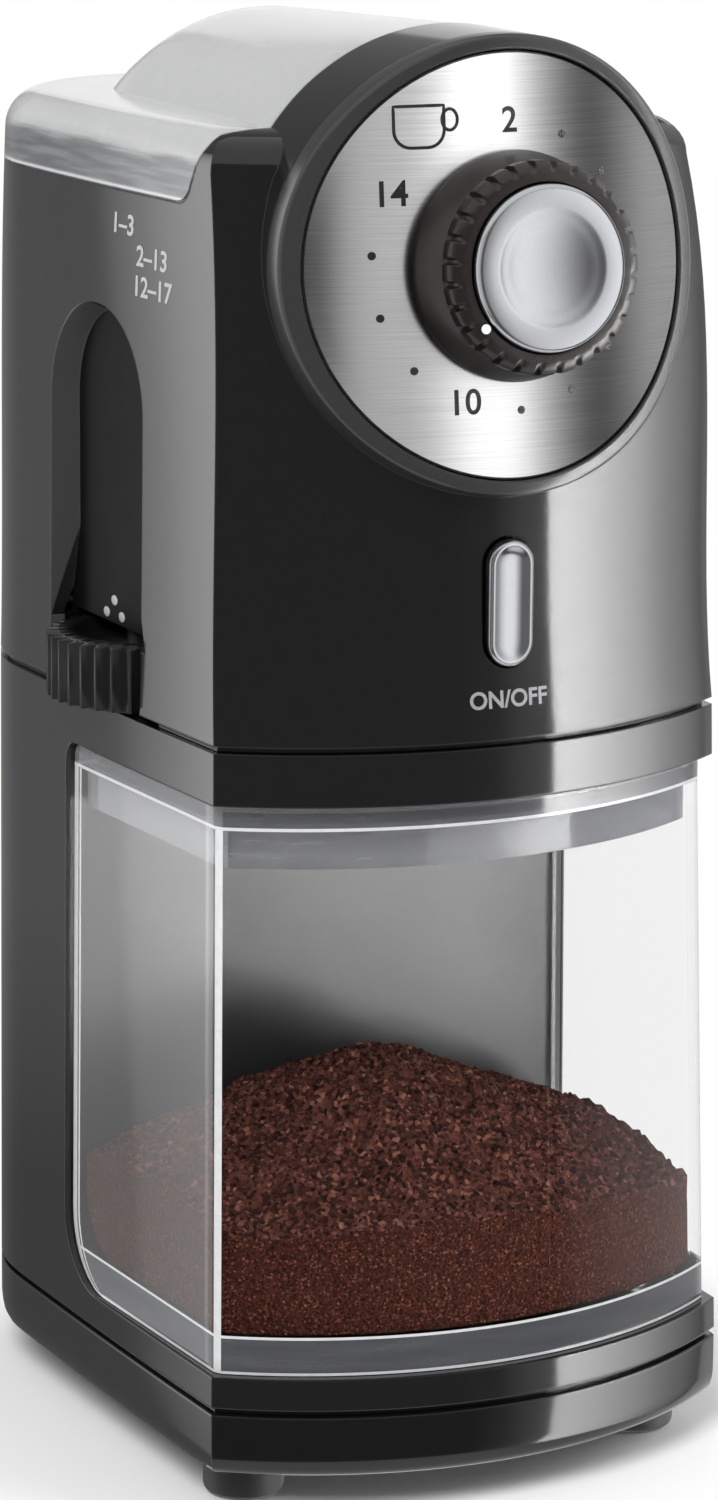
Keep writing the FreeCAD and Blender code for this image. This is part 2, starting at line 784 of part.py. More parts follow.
def make_upper_housing():
    """The storey with the dial drum, the side groove and the shelf that carries the hopper."""
    outer = upper_form("upper_form")
    inner = upper_form("upper_inner", "wall", "upper_low - 1")
    drum_form = common("drum_form", drum("drum_solid", "0", "-3", "drum_back"),
                       dial_curve("drum_curve", "-bezel_back"))
    drum_inner = common("drum_inner", drum("drum_room", "wall", "-3", "drum_back + 1"),
                        dial_curve("drum_inner_curve", "-bezel_back - wall"))
    seat = common("dial_seat", dial_rod("dial_seat_rod", "bezel_inner - 0.05", "-drum_back", "1"),
                  dial_curve("dial_seat_curve", "-plate_thick"))
    seat_inner = common("dial_seat_inner",
                        dial_rod("dial_seat_inner_rod", "bezel_inner - wall", "-drum_back - 1", "1"),
                        dial_curve("dial_seat_inner_curve", "-plate_thick - wall"))
    shelf = slab("shelf", FAR, "lid_front - wall", FAR, "rim_high - wall", f"shoulder_high + {FAR}")
    hollow = cut("upper_hollow", fuse("upper_hollow_form", inner, drum_inner, seat_inner), shelf)
    groove_wall = common("groove_wall", groove_form("groove_wall_form", "wall", "groove_floor + wall"), outer)
    standoffs = [rod_back(f"standoff_{i}_{j}", "2.6", f"{side} * standoff_x", z, f"-54.6 - {j}", "board_y")
                 for i, side in enumerate((-1, 1)) for j, z in enumerate(BOARD_HOLES)]
    pilots = [rod_back(f"standoff_hole_{i}_{j}", "screw_radius", f"{side} * standoff_x", z, "-46",
                       "board_y + 1")
              for i, side in enumerate((-1, 1)) for j, z in enumerate(BOARD_HOLES)]
    shell = cut("upper_shell", fuse("upper_outer", outer, drum_form, seat), hollow)
    hopper_outline = round_box("hopper_half + 0.3", "hopper_front - 0.3", "hopper_rear + 0.3",
                               "hopper_round + 0.3")
    hopper_hole = prism("hopper_hole", hopper_outline, "rim_high - wall - 1", "rim_high + 1")
    pocket = wheel_pocket("wheel_pocket", "0")
    pocket_wall = common("wheel_pocket_wall", wheel_pocket("wheel_pocket_form", "pocket_wall"), outer)
    scallop = common("wheel_scallop", revolved("scallop_cone", [
        ("0", "wheel_high"),
        (f"{WHEEL_TIP} + scallop_room", "wheel_high"),
        (f"{WHEEL_TIP} - 1.5", "scallop_high"),
        ("0", "scallop_high"),
    ], "wheel_x", "wheel_y"), box("scallop_box", "-60", "-30", "120", "60 + groove_floor", "70", "60"))
    ring_room = rod("ring_room", "ring_teeth * tooth_size / 2 + 2 * tooth_size", "0", "burr_y",
                    "upper_low - 1", "ring_web_high + 1")
    slot = prism("button_slot", stadium("button_half + button_gap", "button_tall + button_gap", "button_z"),
                 "50", "66", "XZ_Plane")
    stem_hole = dial_rod("stem_hole", "stem_radius + 1", "-8", "2")
    body = fuse("upper_body", shell, groove_wall, pocket_wall, *standoffs)
    made(cut("upper_housing_solid", body, lid_zone("lid_room", "0"), hopper_hole,
             groove_form("side_groove", "0", "groove_floor"), pocket, scallop, ring_room, slot, stem_hole,
             *pilots),
         "upper_housing")


def make_dial():
    """The bowed steel plate and the ring round it."""
    disc = common("plate_disc", dial_rod("plate_rod", "plate_radius", "-drum_back", "2"),
                  dial_curve("plate_front", "0"))
    made(cut("dial_plate_solid", disc, dial_curve("plate_back", "-plate_thick"),
             dial_rod("plate_hole", "plate_hole", "-4", "2")), "dial_plate")
    ring = common("bezel_ring", drum("bezel_form", "0", "-3", "drum_back"),
                  dial_curve("bezel_front", "bezel_proud"))
    made(cut("dial_bezel_solid", ring, dial_curve("bezel_rear", "-bezel_back"),
             dial_rod("bezel_hole", "bezel_inner", "-drum_back - 1", "4")), "dial_bezel")


def make_cup_knob():
    """The ribbed knob that sets the number of cups, with its cap, pointer dot and stem."""
    knob = at_dial(revolved("cup_knob", [
        ("stem_radius", "knob_lift"),
        ("knob_skirt", "knob_lift"),
        ("knob_skirt", "knob_lift + 1.2"),
        ("knob_body + 0.4", "knob_rib_low"),
        ("knob_body", "knob_rib_low + 0.6"),
        ("knob_body", "knob_face - 0.6"),
        ("knob_body - 0.6", "knob_face"),
        ("cap_radius + 0.2", "knob_face"),
        ("cap_radius + 0.2", "knob_seat"),
        ("stem_radius", "knob_seat"),
    ]))
    rib = pad(knob, "knob_rib", [
        ("knob_body - 1.4", "-knob_rib_width / 2"),
        ("knob_body + knob_rib", "-knob_rib_width / 2 + 0.3"),
        ("knob_body + knob_rib", "knob_rib_width / 2 - 0.3"),
        ("knob_body - 1.4", "knob_rib_width / 2"),
    ], "knob_rib_low", "knob_face - 0.5")
    repeated(knob, rib, rib.Profile[0], "knob_rib_count")
    made(knob, "cup_knob")
    dish_bow = "((dish_radius^2 + dish_depth^2) / (2 * dish_depth))"
    cap = at_dial(revolved("cap_blank", [
        ("0", "knob_seat"),
        ("cap_radius", "knob_seat"),
        ("cap_radius", "cap_high - 0.9", "0.9"),
        ("cap_radius - 0.9", "cap_high"),
        ("dish_radius", "cap_high"),
        ("0", "cap_high"),
    ]))
    dish = doc.addObject("Part::Sphere", "cap_dish")
    bind(dish, Radius=dish_bow)
    reach = f"(cap_high - dish_depth + {dish_bow})"
    place(dish, "0", f"dial_y - {reach} * cos(dial_tilt)", f"dial_z + {reach} * sin(dial_tilt)")
    made(cut("knob_cap_solid", cap, dish), "knob_cap")
    dot_x = "dot_reach * sin(dot_turn)"
    dot_up = "dot_reach * cos(dot_turn)"
    dot = doc.addObject("Part::Cylinder", "pointer_dot")
    bind(dot, Radius="dot_radius", Height="0.3")
    place(dot, dot_x, f"dial_y + {dot_up} * sin(dial_tilt) - knob_face * cos(dial_tilt)",
          f"dial_z + {dot_up} * cos(dial_tilt) + knob_face * sin(dial_tilt)", "90 - dial_tilt", ACROSS)
    made(dot, "knob_pointer")
    made(dial_rod("timer_stem", "stem_radius", "-11", "knob_seat"), "timer_stem")


def make_timer():
    """The rotary timer behind the dial, held by its bush in the drum's front wall."""
    back = "(-plate_thick - wall)"
    made(at_dial(revolved("timer_control", [
        ("0", f"{back} - timer_deep"),
        ("timer_radius", f"{back} - timer_deep"),
        ("timer_radius", f"{back} - 2"),
        ("timer_radius - 0.5", f"{back} - 0.4"),
        ("stem_radius + 0.9", f"{back} - 0.4"),
        ("stem_radius + 0.9", "-plate_thick"),
        ("stem_radius + run_gap", "-plate_thick"),
        ("stem_radius + run_gap", "-11.2"),
        ("0", "-11.2"),
    ])), "timer_control")


BOARD_HOLES = ("board_low + 5", "board_high - 5")


def make_control_board():
    """The upright board behind the front wall, the start switch on it and its screws."""
    board = slab("board_blank", "board_half", "board_y", "board_y + board_thick", "board_low", "board_high")
    holes = [rod_back(f"board_hole_{i}_{j}", "screw_radius", f"{side} * standoff_x", z, "board_y - 1",
                      "board_y + board_thick + 1")
             for i, side in enumerate((-1, 1)) for j, z in enumerate(BOARD_HOLES)]
    made(cut("control_board_solid", board, *holes), "control_board")
    screws = [screw(f"board_screw_{i}_{j}", f"{side} * standoff_x", "board_y + board_thick", z, "8", "90")
              for i, side in enumerate((-1, 1)) for j, z in enumerate(BOARD_HOLES)]
    made(group("board_screws", screws), "board_screws")
    case = slab("switch_case", "6", "board_y - 9", "board_y", "button_z - 6", "button_z + 6")
    tip = rod_back("switch_tip", "1.6", "0", "button_z", "button_stem + 2.6", "board_y - 8")
    made(fuse("start_switch_solid", case, tip), "start_switch")


def make_start_button():
    """The long dished button, with a flange behind the wall and a stem that works the switch."""
    body = new_body("button_blank")
    face = pad(body, "button_face_pad", stadium("button_half", "button_tall", "button_z"),
               "-button_back - 1", "-button_face", "XZ_Plane")
    doc.recompute()
    front = number("button_face")
    edges = [f"Edge{i}" for i, edge in enumerate(face.Shape.Edges, 1)
             if abs(edge.BoundBox.YMin - front) < 0.01 and edge.BoundBox.YLength < 0.01]
    rounding = body.newObject("PartDesign::Fillet", "button_edge")
    rounding.Base = (face, edges)
    rounding.Radius = 0.9
    pad(body, "button_flange_pad", stadium("button_half + 1.2", "button_tall + 1.2", "button_z"),
        "-button_back - button_flange", "-button_back", "XZ_Plane")
    stem = rod_back("button_rod", "2", "0", "button_z", "button_back + button_flange - 0.5", "button_stem")
    run = "(button_tall - button_half)"
    centre = "button_face + dish_sink - dish_bow"
    hollow = [rod("dish_run", "dish_bow", "0", centre, f"button_z - {run}", f"button_z + {run}")]
    for i, side in enumerate((-1, 1)):
        ball = bind(doc.addObject("Part::Sphere", f"dish_end_{i}"), Radius="dish_bow")
        hollow.append(place(ball, "0", centre, f"button_z + {side} * {run}"))
    made(cut("start_button_solid", fuse("button_body", body, stem), *hollow), "start_button")


# Grind setting: thumb wheel and toothed ring.

def add_teeth(body, teeth, low, high):
    """Adds a ring of straight-flanked teeth round a body's Z axis, one tooth towards its +X."""
    pitch = f"({teeth} * tooth_size / 2)"
    tip = f"({pitch} + 0.9 * tooth_size)"
    root = f"({pitch} - 1.3 * tooth_size)"
    half = "(tooth_size * 180 / 114.59 - tooth_play / 2)"
    slope = "0.4"
    tooth = pad(body, f"{body.Name}_tooth", [
        (root, f"-({half} / 2 + 1.1 * tooth_size * {slope})"),
        (tip, f"-({half} / 2 - 0.9 * tooth_size * {slope})"),
        (tip, f"{half} / 2 - 0.9 * tooth_size * {slope}"),
        (root, f"{half} / 2 + 1.1 * tooth_size * {slope}"),
    ], low, high)
    repeated(body, tooth, tooth.Profile[0], teeth)


MESH_TURN = "atan2(burr_y - wheel_y; -wheel_x) / 1 deg"


def make_grind_wheel():
    """The thumb wheel, toothed all round, on its upright pin."""
    root = "(wheel_teeth * tooth_size / 2 - 1.2 * tooth_size)"
    wheel = revolved("grind_wheel", [
        ("pin_radius + run_gap", "wheel_low"),
        ("pin_radius + 3", "wheel_low"),
        ("pin_radius + 3", "wheel_low + 4"),
        (f"{root} - 3", "wheel_low + 4"),
        (f"{root} - 3", "wheel_low"),
        (root, "wheel_low"),
        (root, "wheel_high"),
        (f"{root} - 3", "wheel_high"),
        (f"{root} - 3", "wheel_high - 2"),
        ("pin_radius + 3", "wheel_high - 2"),
        ("pin_radius + 3", "wheel_high"),
        ("pin_radius + run_gap", "wheel_high"),
    ], "wheel_x", "wheel_y", "0", MESH_TURN)
    add_teeth(wheel, "wheel_teeth", "wheel_low + 0.4", "wheel_high - 0.4")
    made(wheel, "grind_wheel")
    made(revolved("wheel_pin", [
        ("0", "bay_high + wall"),
        ("pin_radius + 3", "bay_high + wall"),
        ("pin_radius + 3", "wheel_low - 0.1"),
        ("pin_radius", "wheel_low - 0.1"),
        ("pin_radius", "wheel_high + 0.8"),
        ("0", "wheel_high + 0.8"),
    ], "wheel_x", "wheel_y"), "wheel_pin")


def make_adjusting_ring():
    """The toothed ring that the thumb wheel turns; the thread in its web lifts the upper burr."""
    root = "(ring_teeth * tooth_size / 2 - 1.2 * tooth_size)"
    gap_turn = f"{MESH_TURN} + 180 + 180 / ring_teeth"
    ring = revolved("adjusting_ring", [
        ("ring_bore", "ledge_high + 0.2"),
        (root, "ledge_high + 0.2"),
        (root, "ring_web_high"),
        ("ring_eye", "ring_web_high"),
        ("ring_eye", "ring_web_low"),
        ("ring_bore", "ring_web_low"),
    ], "0", "burr_y", "0", gap_turn)
    add_teeth(ring, "ring_teeth", "ledge_high + 0.6", "wheel_high - 0.4")
    made(ring, "adjusting_ring")


# Burrs, chamber and chute.

def add_flutes(body, name, inner, plane_z, upwards):
    """Cuts slanted flutes into a burr's working face, wide at the eye and narrow at the rim."""
    sketch = new_sketch(body, f"{name}_outline", "XY_Plane", plane_z)
    draw(sketch, [
        (f"{inner} - 3", "1"),
        ("burr_radius + 1", "6.2"),
        ("burr_radius + 1", "7"),
        (f"{inner} - 3", "3.6"),
    ])
    feature = body.newObject("PartDesign::Pocket", name)
    feature.Profile = sketch
    feature.Reversed = not upwards
    bind(feature, Length="flute_deep")
    repeated(body, feature, sketch, "burr_flutes")


def make_burrs():
    """The two steel burrs, with the carrier and paddles below and the keyed carrier above."""
    top = "(burr_seat + burr_thick)"
    lower = revolved("lower_burr", [
        ("lower_eye", "burr_seat"),
        ("burr_radius", "burr_seat"),
        ("burr_radius", top),
        ("burr_radius - 5", top),
        ("lower_eye", f"{top} - 2"),
    ], "0", "burr_y")
    add_flutes(lower, "lower_flute", "lower_eye", top, True)
    made(lower, "lower_burr")
    face = f"({top} + burr_space)"
    upper = revolved("upper_burr", [
        ("upper_eye", f"{face} + 2.4"),
        ("burr_radius - 5", face),
        ("burr_radius", face),
        ("burr_radius", f"{face} + burr_thick"),
        ("upper_eye", f"{face} + burr_thick"),
    ], "0", "burr_y")
    add_flutes(upper, "upper_flute", "upper_eye", face, False)
    made(upper, "upper_burr")
    paddled = revolved("lower_burr_carrier", [
        ("shaft_radius", "chamber_floor + 0.5"),
        ("6", "chamber_floor + 0.5"),
        ("6", "burr_seat - 2.4"),
        ("burr_radius", "burr_seat - 2.4"),
        ("burr_radius", "burr_seat"),
        ("shaft_radius", "burr_seat"),
    ], "0", "burr_y")
    paddle = pad(paddled, "paddle", [
        ("5", "-1"), ("chamber_bore - 0.7", "-1"), ("chamber_bore - 0.7", "1"), ("5", "1"),
    ], "chamber_floor + 0.5", "burr_seat - 2")
    repeated(paddled, paddle, paddle.Profile[0], "paddle_count")
    made(paddled, "lower_burr_carrier")
    made(revolved("burr_nut", [
        ("shaft_radius", "burr_seat"),
        ("6.6", "burr_seat"),
        ("6.6", "burr_seat + 2.4"),
        ("shaft_radius + 0.6", "burr_seat + 6"),
        ("shaft_radius", "burr_seat + 6"),
    ], "0", "burr_y"), "burr_nut")
    back = f"({face} + burr_thick)"
    carrier = revolved("upper_burr_carrier", [
        ("upper_eye", back),
        ("chamber_bore - 0.3", back),
        ("chamber_bore - 0.3", f"{back} + 3"),
        ("neck_radius", f"{back} + 3"),
        ("neck_radius", "neck_high"),
        ("neck_radius - 3", "neck_high"),
        ("upper_eye", f"{back} + 3"),
    ], "0", "burr_y")
    key = pad(carrier, "carrier_key", [
        ("neck_radius", "-key_width / 2"), ("chamber_bore + 1", "-key_width / 2"),
        ("chamber_bore + 1", "key_width / 2"), ("neck_radius", "key_width / 2"),
    ], f"{back}", f"{back} + 3")
    repeated(carrier, key, key.Profile[0], "key_count")
    made(carrier, "upper_burr_carrier")


def make_chamber():
    """The cup round the burrs, open at the front, and the chute from it to the port over the container."""
    cup = revolved("chamber_cup", [
        ("seal_radius", "chamber_low"),
        ("ledge_radius", "chamber_low"),
        ("ledge_radius", "chamber_floor"),
        ("chamber_wall", "chamber_floor"),
        ("chamber_wall", "ledge_low"),
        ("ledge_radius", "ledge_low"),
        ("ledge_radius", "ledge_high"),
        ("chamber_wall", "ledge_high"),
        ("chamber_wall", "chamber_high"),
        ("chamber_bore", "chamber_high"),
        ("chamber_bore", "chamber_floor"),
        ("seal_radius", "chamber_floor"),
    ], "0", "burr_y")
    slots = []
    for i in range(int(number("key_count"))):
        slot = box(f"key_slot_{i}", "0", "0", "0", "chamber_bore + 1.4", "key_width + 0.8", "30")
        turn = f"{i} * 360 / key_count"
        half = "(key_width / 2 + 0.4)"
        place(slot, f"{half} * sin({turn})", f"burr_y - {half} * cos({turn})", "burr_seat", turn)
        slots.append(slot)
    key_core = rod("key_core", "12", "0", "burr_y", "120", "170")
    keys = cut("key_slots", group("key_slot_group", slots), key_core)
    mouth = slab("chamber_mouth", "port_half", "burr_y - ledge_radius - 2", "burr_y", "chamber_floor",
                 "chute_high - chute_wall")
    core = rod("mouth_core", "chamber_bore - 1", "0", "burr_y", "chamber_floor - 1", "chute_high")
    made(cut("grinding_chamber_solid", cup, keys, cut("mouth_cut", mouth, core)), "grinding_chamber")
    back = "(burr_y - ledge_radius)"
    front = "(port_y - port_reach)"
    duct = across("chute_block", [
        (f"{front} - chute_wall", "bay_high + 0.3"),
        ("port_y + port_reach + chute_wall", "bay_high + 0.3"),
        ("port_y + port_reach + chute_wall", "bay_high + wall"),
        (back, "bay_high + wall"),
        (back, "chute_high"),
        (f"{front} - chute_wall", "chute_high"),
    ], "port_half + chute_wall")
    hollow = across("chute_hollow", [
        (front, "bay_high - 1"),
        ("port_y + port_reach", "bay_high - 1"),
        ("port_y + port_reach", "bay_high + wall + 0.8"),
        (f"{back} + 1", "chamber_floor"),
        (f"{back} + 1", "chute_high - chute_wall"),
        (front, "chute_high - chute_wall"),
    ], "port_half")
    flare = rod("chute_end", "ledge_radius + 0.05", "0", "burr_y", "bay_high", "chute_high + 1")
    made(cut("grounds_chute_solid", duct, hollow, flare), "grounds_chute")


# Motor.

def make_motor():
    """The motor in the spine: can, end cap, magnets, brushes, rotor and the plate that hangs it."""
    skin = "(motor_radius - motor_wall)"
    made(revolved("motor_can", [
        ("bearing_radius", "motor_high - motor_wall"),
        (skin, "motor_high - motor_wall"),
        (skin, "motor_low"),
        ("motor_radius", "motor_low"),
        ("motor_radius", "motor_high - 2", "2"),
        ("motor_radius - 2", "motor_high"),
        ("bearing_radius", "motor_high"),
    ], "0", "burr_y"), "motor_can")
    made(revolved("motor_end_cap", [
        ("bearing_radius", "motor_low - 6"),
        ("10", "motor_low - 6"),
        ("10", "motor_low - 3"),
        ("motor_radius", "motor_low - 3"),
        ("motor_radius", "motor_low"),
        (skin, "motor_low"),
        (skin, "motor_low + 3"),
        (f"{skin} - 2", "motor_low + 3"),
        (f"{skin} - 2", "motor_low"),
        ("bearing_radius", "motor_low"),
    ], "0", "burr_y"), "motor_end_cap")
    sleeve = cut("magnet_sleeve", rod("magnet_out", skin, "0", "burr_y", "motor_low + 14", "motor_high - 12"),
                 rod("magnet_in", "armature_radius + 0.5", "0", "burr_y", "motor_low", "motor_high"))
    gap = slab("magnet_gap", "4", "burr_y - 30", "burr_y + 30", "motor_low", "motor_high")
    made(cut("motor_magnets_solid", sleeve, gap), "motor_magnets")
    brushes = [box(f"brush_{i}", f"{side} * 11.65 - 5.5", "burr_y - 2", "motor_low + 4.5", "11", "4", "6")
               for i, side in enumerate((-1, 1))]
    made(group("motor_brushes", brushes), "motor_brushes")
    armature = revolved("armature_core", [
        ("shaft_radius", "motor_low + 4"),
        ("6", "motor_low + 4"),
        ("6", "motor_low + 12"),
        ("11", "motor_low + 14"),
        ("11", "motor_low + 18"),
        ("armature_radius", "motor_low + 18"),
        ("armature_radius", "motor_high - 16"),
        ("11", "motor_high - 16"),
        ("11", "motor_high - 11"),
        ("shaft_radius", "motor_high - 9"),
    ], "0", "burr_y")
    made(armature, "armature")
    made(revolved("motor_shaft", [
        ("0", "motor_low - 5"),
        ("shaft_radius", "motor_low - 5"),
        ("shaft_radius", "burr_seat + 7"),
        ("0", "burr_seat + 7"),
    ], "0", "burr_y"), "motor_shaft")
    for name, low, high in (("lower_bearing", "motor_low - 6", "motor_low"),
                            ("upper_bearing", "motor_high - 6", "motor_high + mount_thick")):
        made(revolved(name, [
            ("shaft_radius + run_gap", low),
            ("bearing_radius", low),
            ("bearing_radius", high),
            ("shaft_radius + run_gap", high),
        ], "0", "burr_y"), name)
    made(revolved("shaft_seal", [
        ("shaft_radius + run_gap", "chamber_low"), ("seal_radius", "chamber_low"),
        ("seal_radius", "chamber_floor"), ("shaft_radius + run_gap", "chamber_floor"),
    ], "0", "burr_y"), "shaft_seal")
    outline = round_box("mount_half_x", "burr_y - mount_half_y", "burr_y + mount_half_y", "5")
    plate = prism("mount_plate", outline, "motor_high", "motor_high + mount_thick")
    holes = [rod(f"plate_hole_{i}", "screw_radius", x, y, "motor_high - 1", "motor_high + mount_thick + 1")
             for i, (x, y) in enumerate(MOUNT_HOLES)]
    eye = rod("plate_eye", "bearing_radius", "0", "burr_y", "motor_high - 1", "bay_high")
    made(cut("motor_mount_solid", plate, eye, *holes), "motor_mount")
    screws = [screw(f"mount_screw_{i}", x, y, "motor_high", "6") for i, (x, y) in enumerate(MOUNT_HOLES)]
    made(group("motor_screws", screws), "motor_screws")


# Hopper and lid.

def make_hopper():
    """The funnel that feeds beans to the burrs, hung by its flange on the housing's shelf."""
    def funnel(name, inset, low, high):
        core = f"(throat_radius + 4 - ({inset}))"
        return lofted(name, [
            (round_box(f"({core} + 0.2)", f"burr_y - {core} - 0.2", f"burr_y + {core} + 0.2", core), low),
            (round_box(f"(hopper_half - ({inset}))", f"hopper_front + ({inset})", f"hopper_rear - ({inset})",
                       f"hopper_round - ({inset})"), high),
        ])
    outer = funnel("funnel_out", "0", "throat_high", "rim_high")
    inner = funnel("funnel_in", "hopper_wall", "throat_high + 0.01", "rim_high + hopper_flange + 0.01")
    flange = prism("funnel_flange", round_box("(hopper_half + 3)", "hopper_front - 3", "hopper_rear + 3",
                                              "hopper_round + 3"), "rim_high", "rim_high + hopper_flange")
    throat = revolved("throat", [
        ("throat_radius - hopper_wall", "throat_low"),
        ("throat_radius + 2", "throat_low"),
        ("throat_radius + 4", "throat_high"),
        ("throat_radius + 4.2", "throat_high + 1"),
        ("throat_radius - hopper_wall", "throat_high + 1"),
    ], "0", "burr_y")
    bore = revolved("throat_bore", [
        ("0", "throat_low - 1"),
        ("throat_radius - hopper_wall", "throat_low - 1"),
        ("throat_radius + 2", "throat_high"),
        ("throat_radius + 2", "throat_high + 0.1"),
        ("0", "throat_high + 0.1"),
    ], "0", "burr_y")
    made(cut("bean_hopper_solid", fuse("hopper_body", outer, flange, throat), inner, bore), "bean_hopper")


def hump(name, inset):
    """The barrel vault of the lid, which carries the drum's form to the back."""
    start = f"({inset})"
    radius = f"(hump_radius - ({inset}))"
    end = f"(hump_end_radius - ({inset}))"
    return revolved(name, [
        ("0", start),
        (radius, start),
        (end, "hump_length"),
        (f"{end} - 5", f"hump_length + 9 - ({inset}) * 0.5"),
        (f"{end} - 15", f"hump_length + 15 - ({inset})"),
        ("0", f"hump_length + 18 - ({inset})"),
    ], "0", "lid_front", "hump_z", "-90", ACROSS)


def make_hopper_lid():
    """The clear lid: a skirt, rounded shoulders and the vault over the hopper."""
    form = fuse("lid_form", upper_form("lid_shoulders"), hump("lid_vault", "0"))
    inside = fuse("lid_inside", upper_form("lid_inner_shoulders", "lid_wall"),
                  hump("lid_inner_vault", "lid_wall"))
    room = lid_zone("lid_inner_room", "lid_gap", "lid_wall", "5")
    outer = common("lid_outer", form, lid_zone("lid_space", "lid_gap"))
    made(cut("hopper_lid_solid", outer, common("lid_hollow", inside, room)), "hopper_lid")


# Container, its lid and the ground coffee.

def jar_form(name, inset, low, rear_round):
    """The container's form, moved in from its outer face, with the round lower back edge."""
    walls = lofted(f"{name}_walls", [
        (jar_plan("jar_low", inset), "bay_low + bay_rest"),
        (jar_plan("jar_high", inset), "jar_high"),
    ])
    side = across(f"{name}_side", [
        (f"-{FAR}", low),
        (f"bay_rear - bay_gap - ({inset}) - {rear_round}", low, rear_round),
        (f"bay_rear - bay_gap - ({inset})", f"{low} + {rear_round}"),
        (f"bay_rear - bay_gap - ({inset})", f"jar_high + {FAR}"),
        (f"-{FAR}", f"jar_high + {FAR}"),
    ])
    return common(name, walls, side)


def make_container():
    """The clear container, its lid with the port, and the heap of ground coffee in it."""
    outer = jar_form("jar_outer", "0", "bay_low + bay_rest", "(bay_round - bay_gap)")
    inner = jar_form("jar_inner", "jar_wall", "jar_floor", "(bay_round - bay_gap - jar_wall)")
    made(cut("grounds_container_solid", outer, inner), "grounds_container")
    port = prism("cover_port", round_box("port_half", "port_y - port_reach", "port_y + port_reach", "4"),
                 "cover_skirt - 1", "cover_high + 1")
    web = prism("cover_web_pad", jar_plan("jar_high"), "jar_high", "cover_high")
    dip = prism("cover_dip", jar_plan("jar_high", "cover_rim"), "cover_web", "cover_high + 1")
    skirt = prism("cover_skirt_pad", jar_plan("jar_high", "jar_wall + 0.3"), "cover_skirt", "jar_high + 1")
    hollow = prism("cover_hollow", jar_plan("jar_high", "jar_wall + 0.3 + cover_skirt_wall"),
                   "cover_skirt - 1", "jar_high + 0.6")
    side = across("cover_side", bay_profile("jar_floor", "cover_high", "(bay_rear - bay_gap)", "1",
                                            "bay_lip - bay_gap"))
    body = common("cover_body", fuse("cover_form", web, skirt), side)
    made(cut("container_lid_solid", body, dip, hollow, port), "container_lid")
    room = jar_form("heap_room", "jar_wall + heap_gap", "jar_floor",
                    "(bay_round - bay_gap - jar_wall - heap_gap)")
    cone = doc.addObject("Part::Cone", "heap_cone")
    bind(cone, Radius1="heap_spread", Radius2="heap_crown", Height="heap_peak - jar_floor")
    made(common("ground_coffee_solid", room, place(cone, "0", "port_y", "jar_floor")), "ground_coffee")


def build():
    """Makes every sub-part."""
    make_base_plate()
    make_rubber_feet()
    make_base_screws()
    make_lower_housing()
    make_cord_gland()
    make_upper_housing()
    make_dial()
    make_cup_knob()
    make_timer()
    make_control_board()
    make_start_button()
    make_grind_wheel()
    make_adjusting_ring()
    make_burrs()
    make_chamber()
    make_motor()
    make_hopper()
    make_hopper_lid()
    make_container()
    doc.recompute()


def check():
    """Stops on a failed object or a bad shape."""
    failed = [thing.Label for thing in doc.Objects if {"Invalid", "Error"} & set(thing.State)]
    bad = [thing.Label for thing in nodes if thing.Shape.isNull() or not thing.Shape.isValid()]
    if failed or bad:
        raise RuntimeError(f"failed objects {failed}, bad shapes {bad}")


def export():
    """Writes each sub-part to its own file."""
    os.makedirs("parts", exist_ok=True)
    for thing in nodes:
        thing.Shape.exportStep(f"parts/{thing.Label}.step")
        print(f"{thing.Label}: {len(thing.Shape.Solids)} solid(s), {thing.Shape.Volume / 1000:.2f} cm3")


build()
check()
export()
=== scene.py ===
"""Looks of a burr coffee grinder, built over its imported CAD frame.

The classes hold their sizes in millimetres, in the frame of the CAD: +Z is up, the table is at 0, the dial
faces -Y and the thumb wheel is on the -X side. A mesh is in metres.
"""

import json
import logging
import math
from collections.abc import Callable
from dataclasses import dataclass, field
from enum import Enum

import bmesh
import bpy
from mathutils import Matrix, Vector, noise

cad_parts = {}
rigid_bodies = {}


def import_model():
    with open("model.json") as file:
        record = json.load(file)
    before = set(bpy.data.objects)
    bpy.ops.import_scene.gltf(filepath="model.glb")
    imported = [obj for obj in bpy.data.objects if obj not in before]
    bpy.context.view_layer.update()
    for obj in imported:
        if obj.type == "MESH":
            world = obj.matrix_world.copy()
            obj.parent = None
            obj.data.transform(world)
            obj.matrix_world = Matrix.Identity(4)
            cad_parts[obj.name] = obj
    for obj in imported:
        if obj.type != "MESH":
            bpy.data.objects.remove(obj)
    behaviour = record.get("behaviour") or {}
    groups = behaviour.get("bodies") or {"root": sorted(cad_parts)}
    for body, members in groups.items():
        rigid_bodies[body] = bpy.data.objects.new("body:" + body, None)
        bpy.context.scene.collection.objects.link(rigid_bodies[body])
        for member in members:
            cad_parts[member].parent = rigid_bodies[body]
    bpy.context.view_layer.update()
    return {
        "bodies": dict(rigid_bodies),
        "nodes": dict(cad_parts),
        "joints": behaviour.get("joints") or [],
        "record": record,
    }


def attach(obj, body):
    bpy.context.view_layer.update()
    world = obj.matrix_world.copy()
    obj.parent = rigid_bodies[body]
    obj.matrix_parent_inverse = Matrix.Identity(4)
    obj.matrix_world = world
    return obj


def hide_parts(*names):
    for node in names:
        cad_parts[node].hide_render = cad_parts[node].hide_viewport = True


MM = 0.001
# How many times broader than its grain a surface's haze is.
HAZE = 22
Spot = tuple[float, float]
Point = tuple[float, float, float]
Ring = list[Point]
log = logging.getLogger("grinder")


class Cut(Enum):
    """What a boolean modifier does with its tool."""

    TAKE = "DIFFERENCE"
    ADD = "UNION"
    KEEP = "INTERSECT"


class Body(Enum):
    """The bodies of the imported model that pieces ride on."""

    HOUSING = "housing"
    KNOB = "knob"
    BUTTON = "button"
    WHEEL = "wheel"
    LID = "lid"
    CONTAINER = "container"


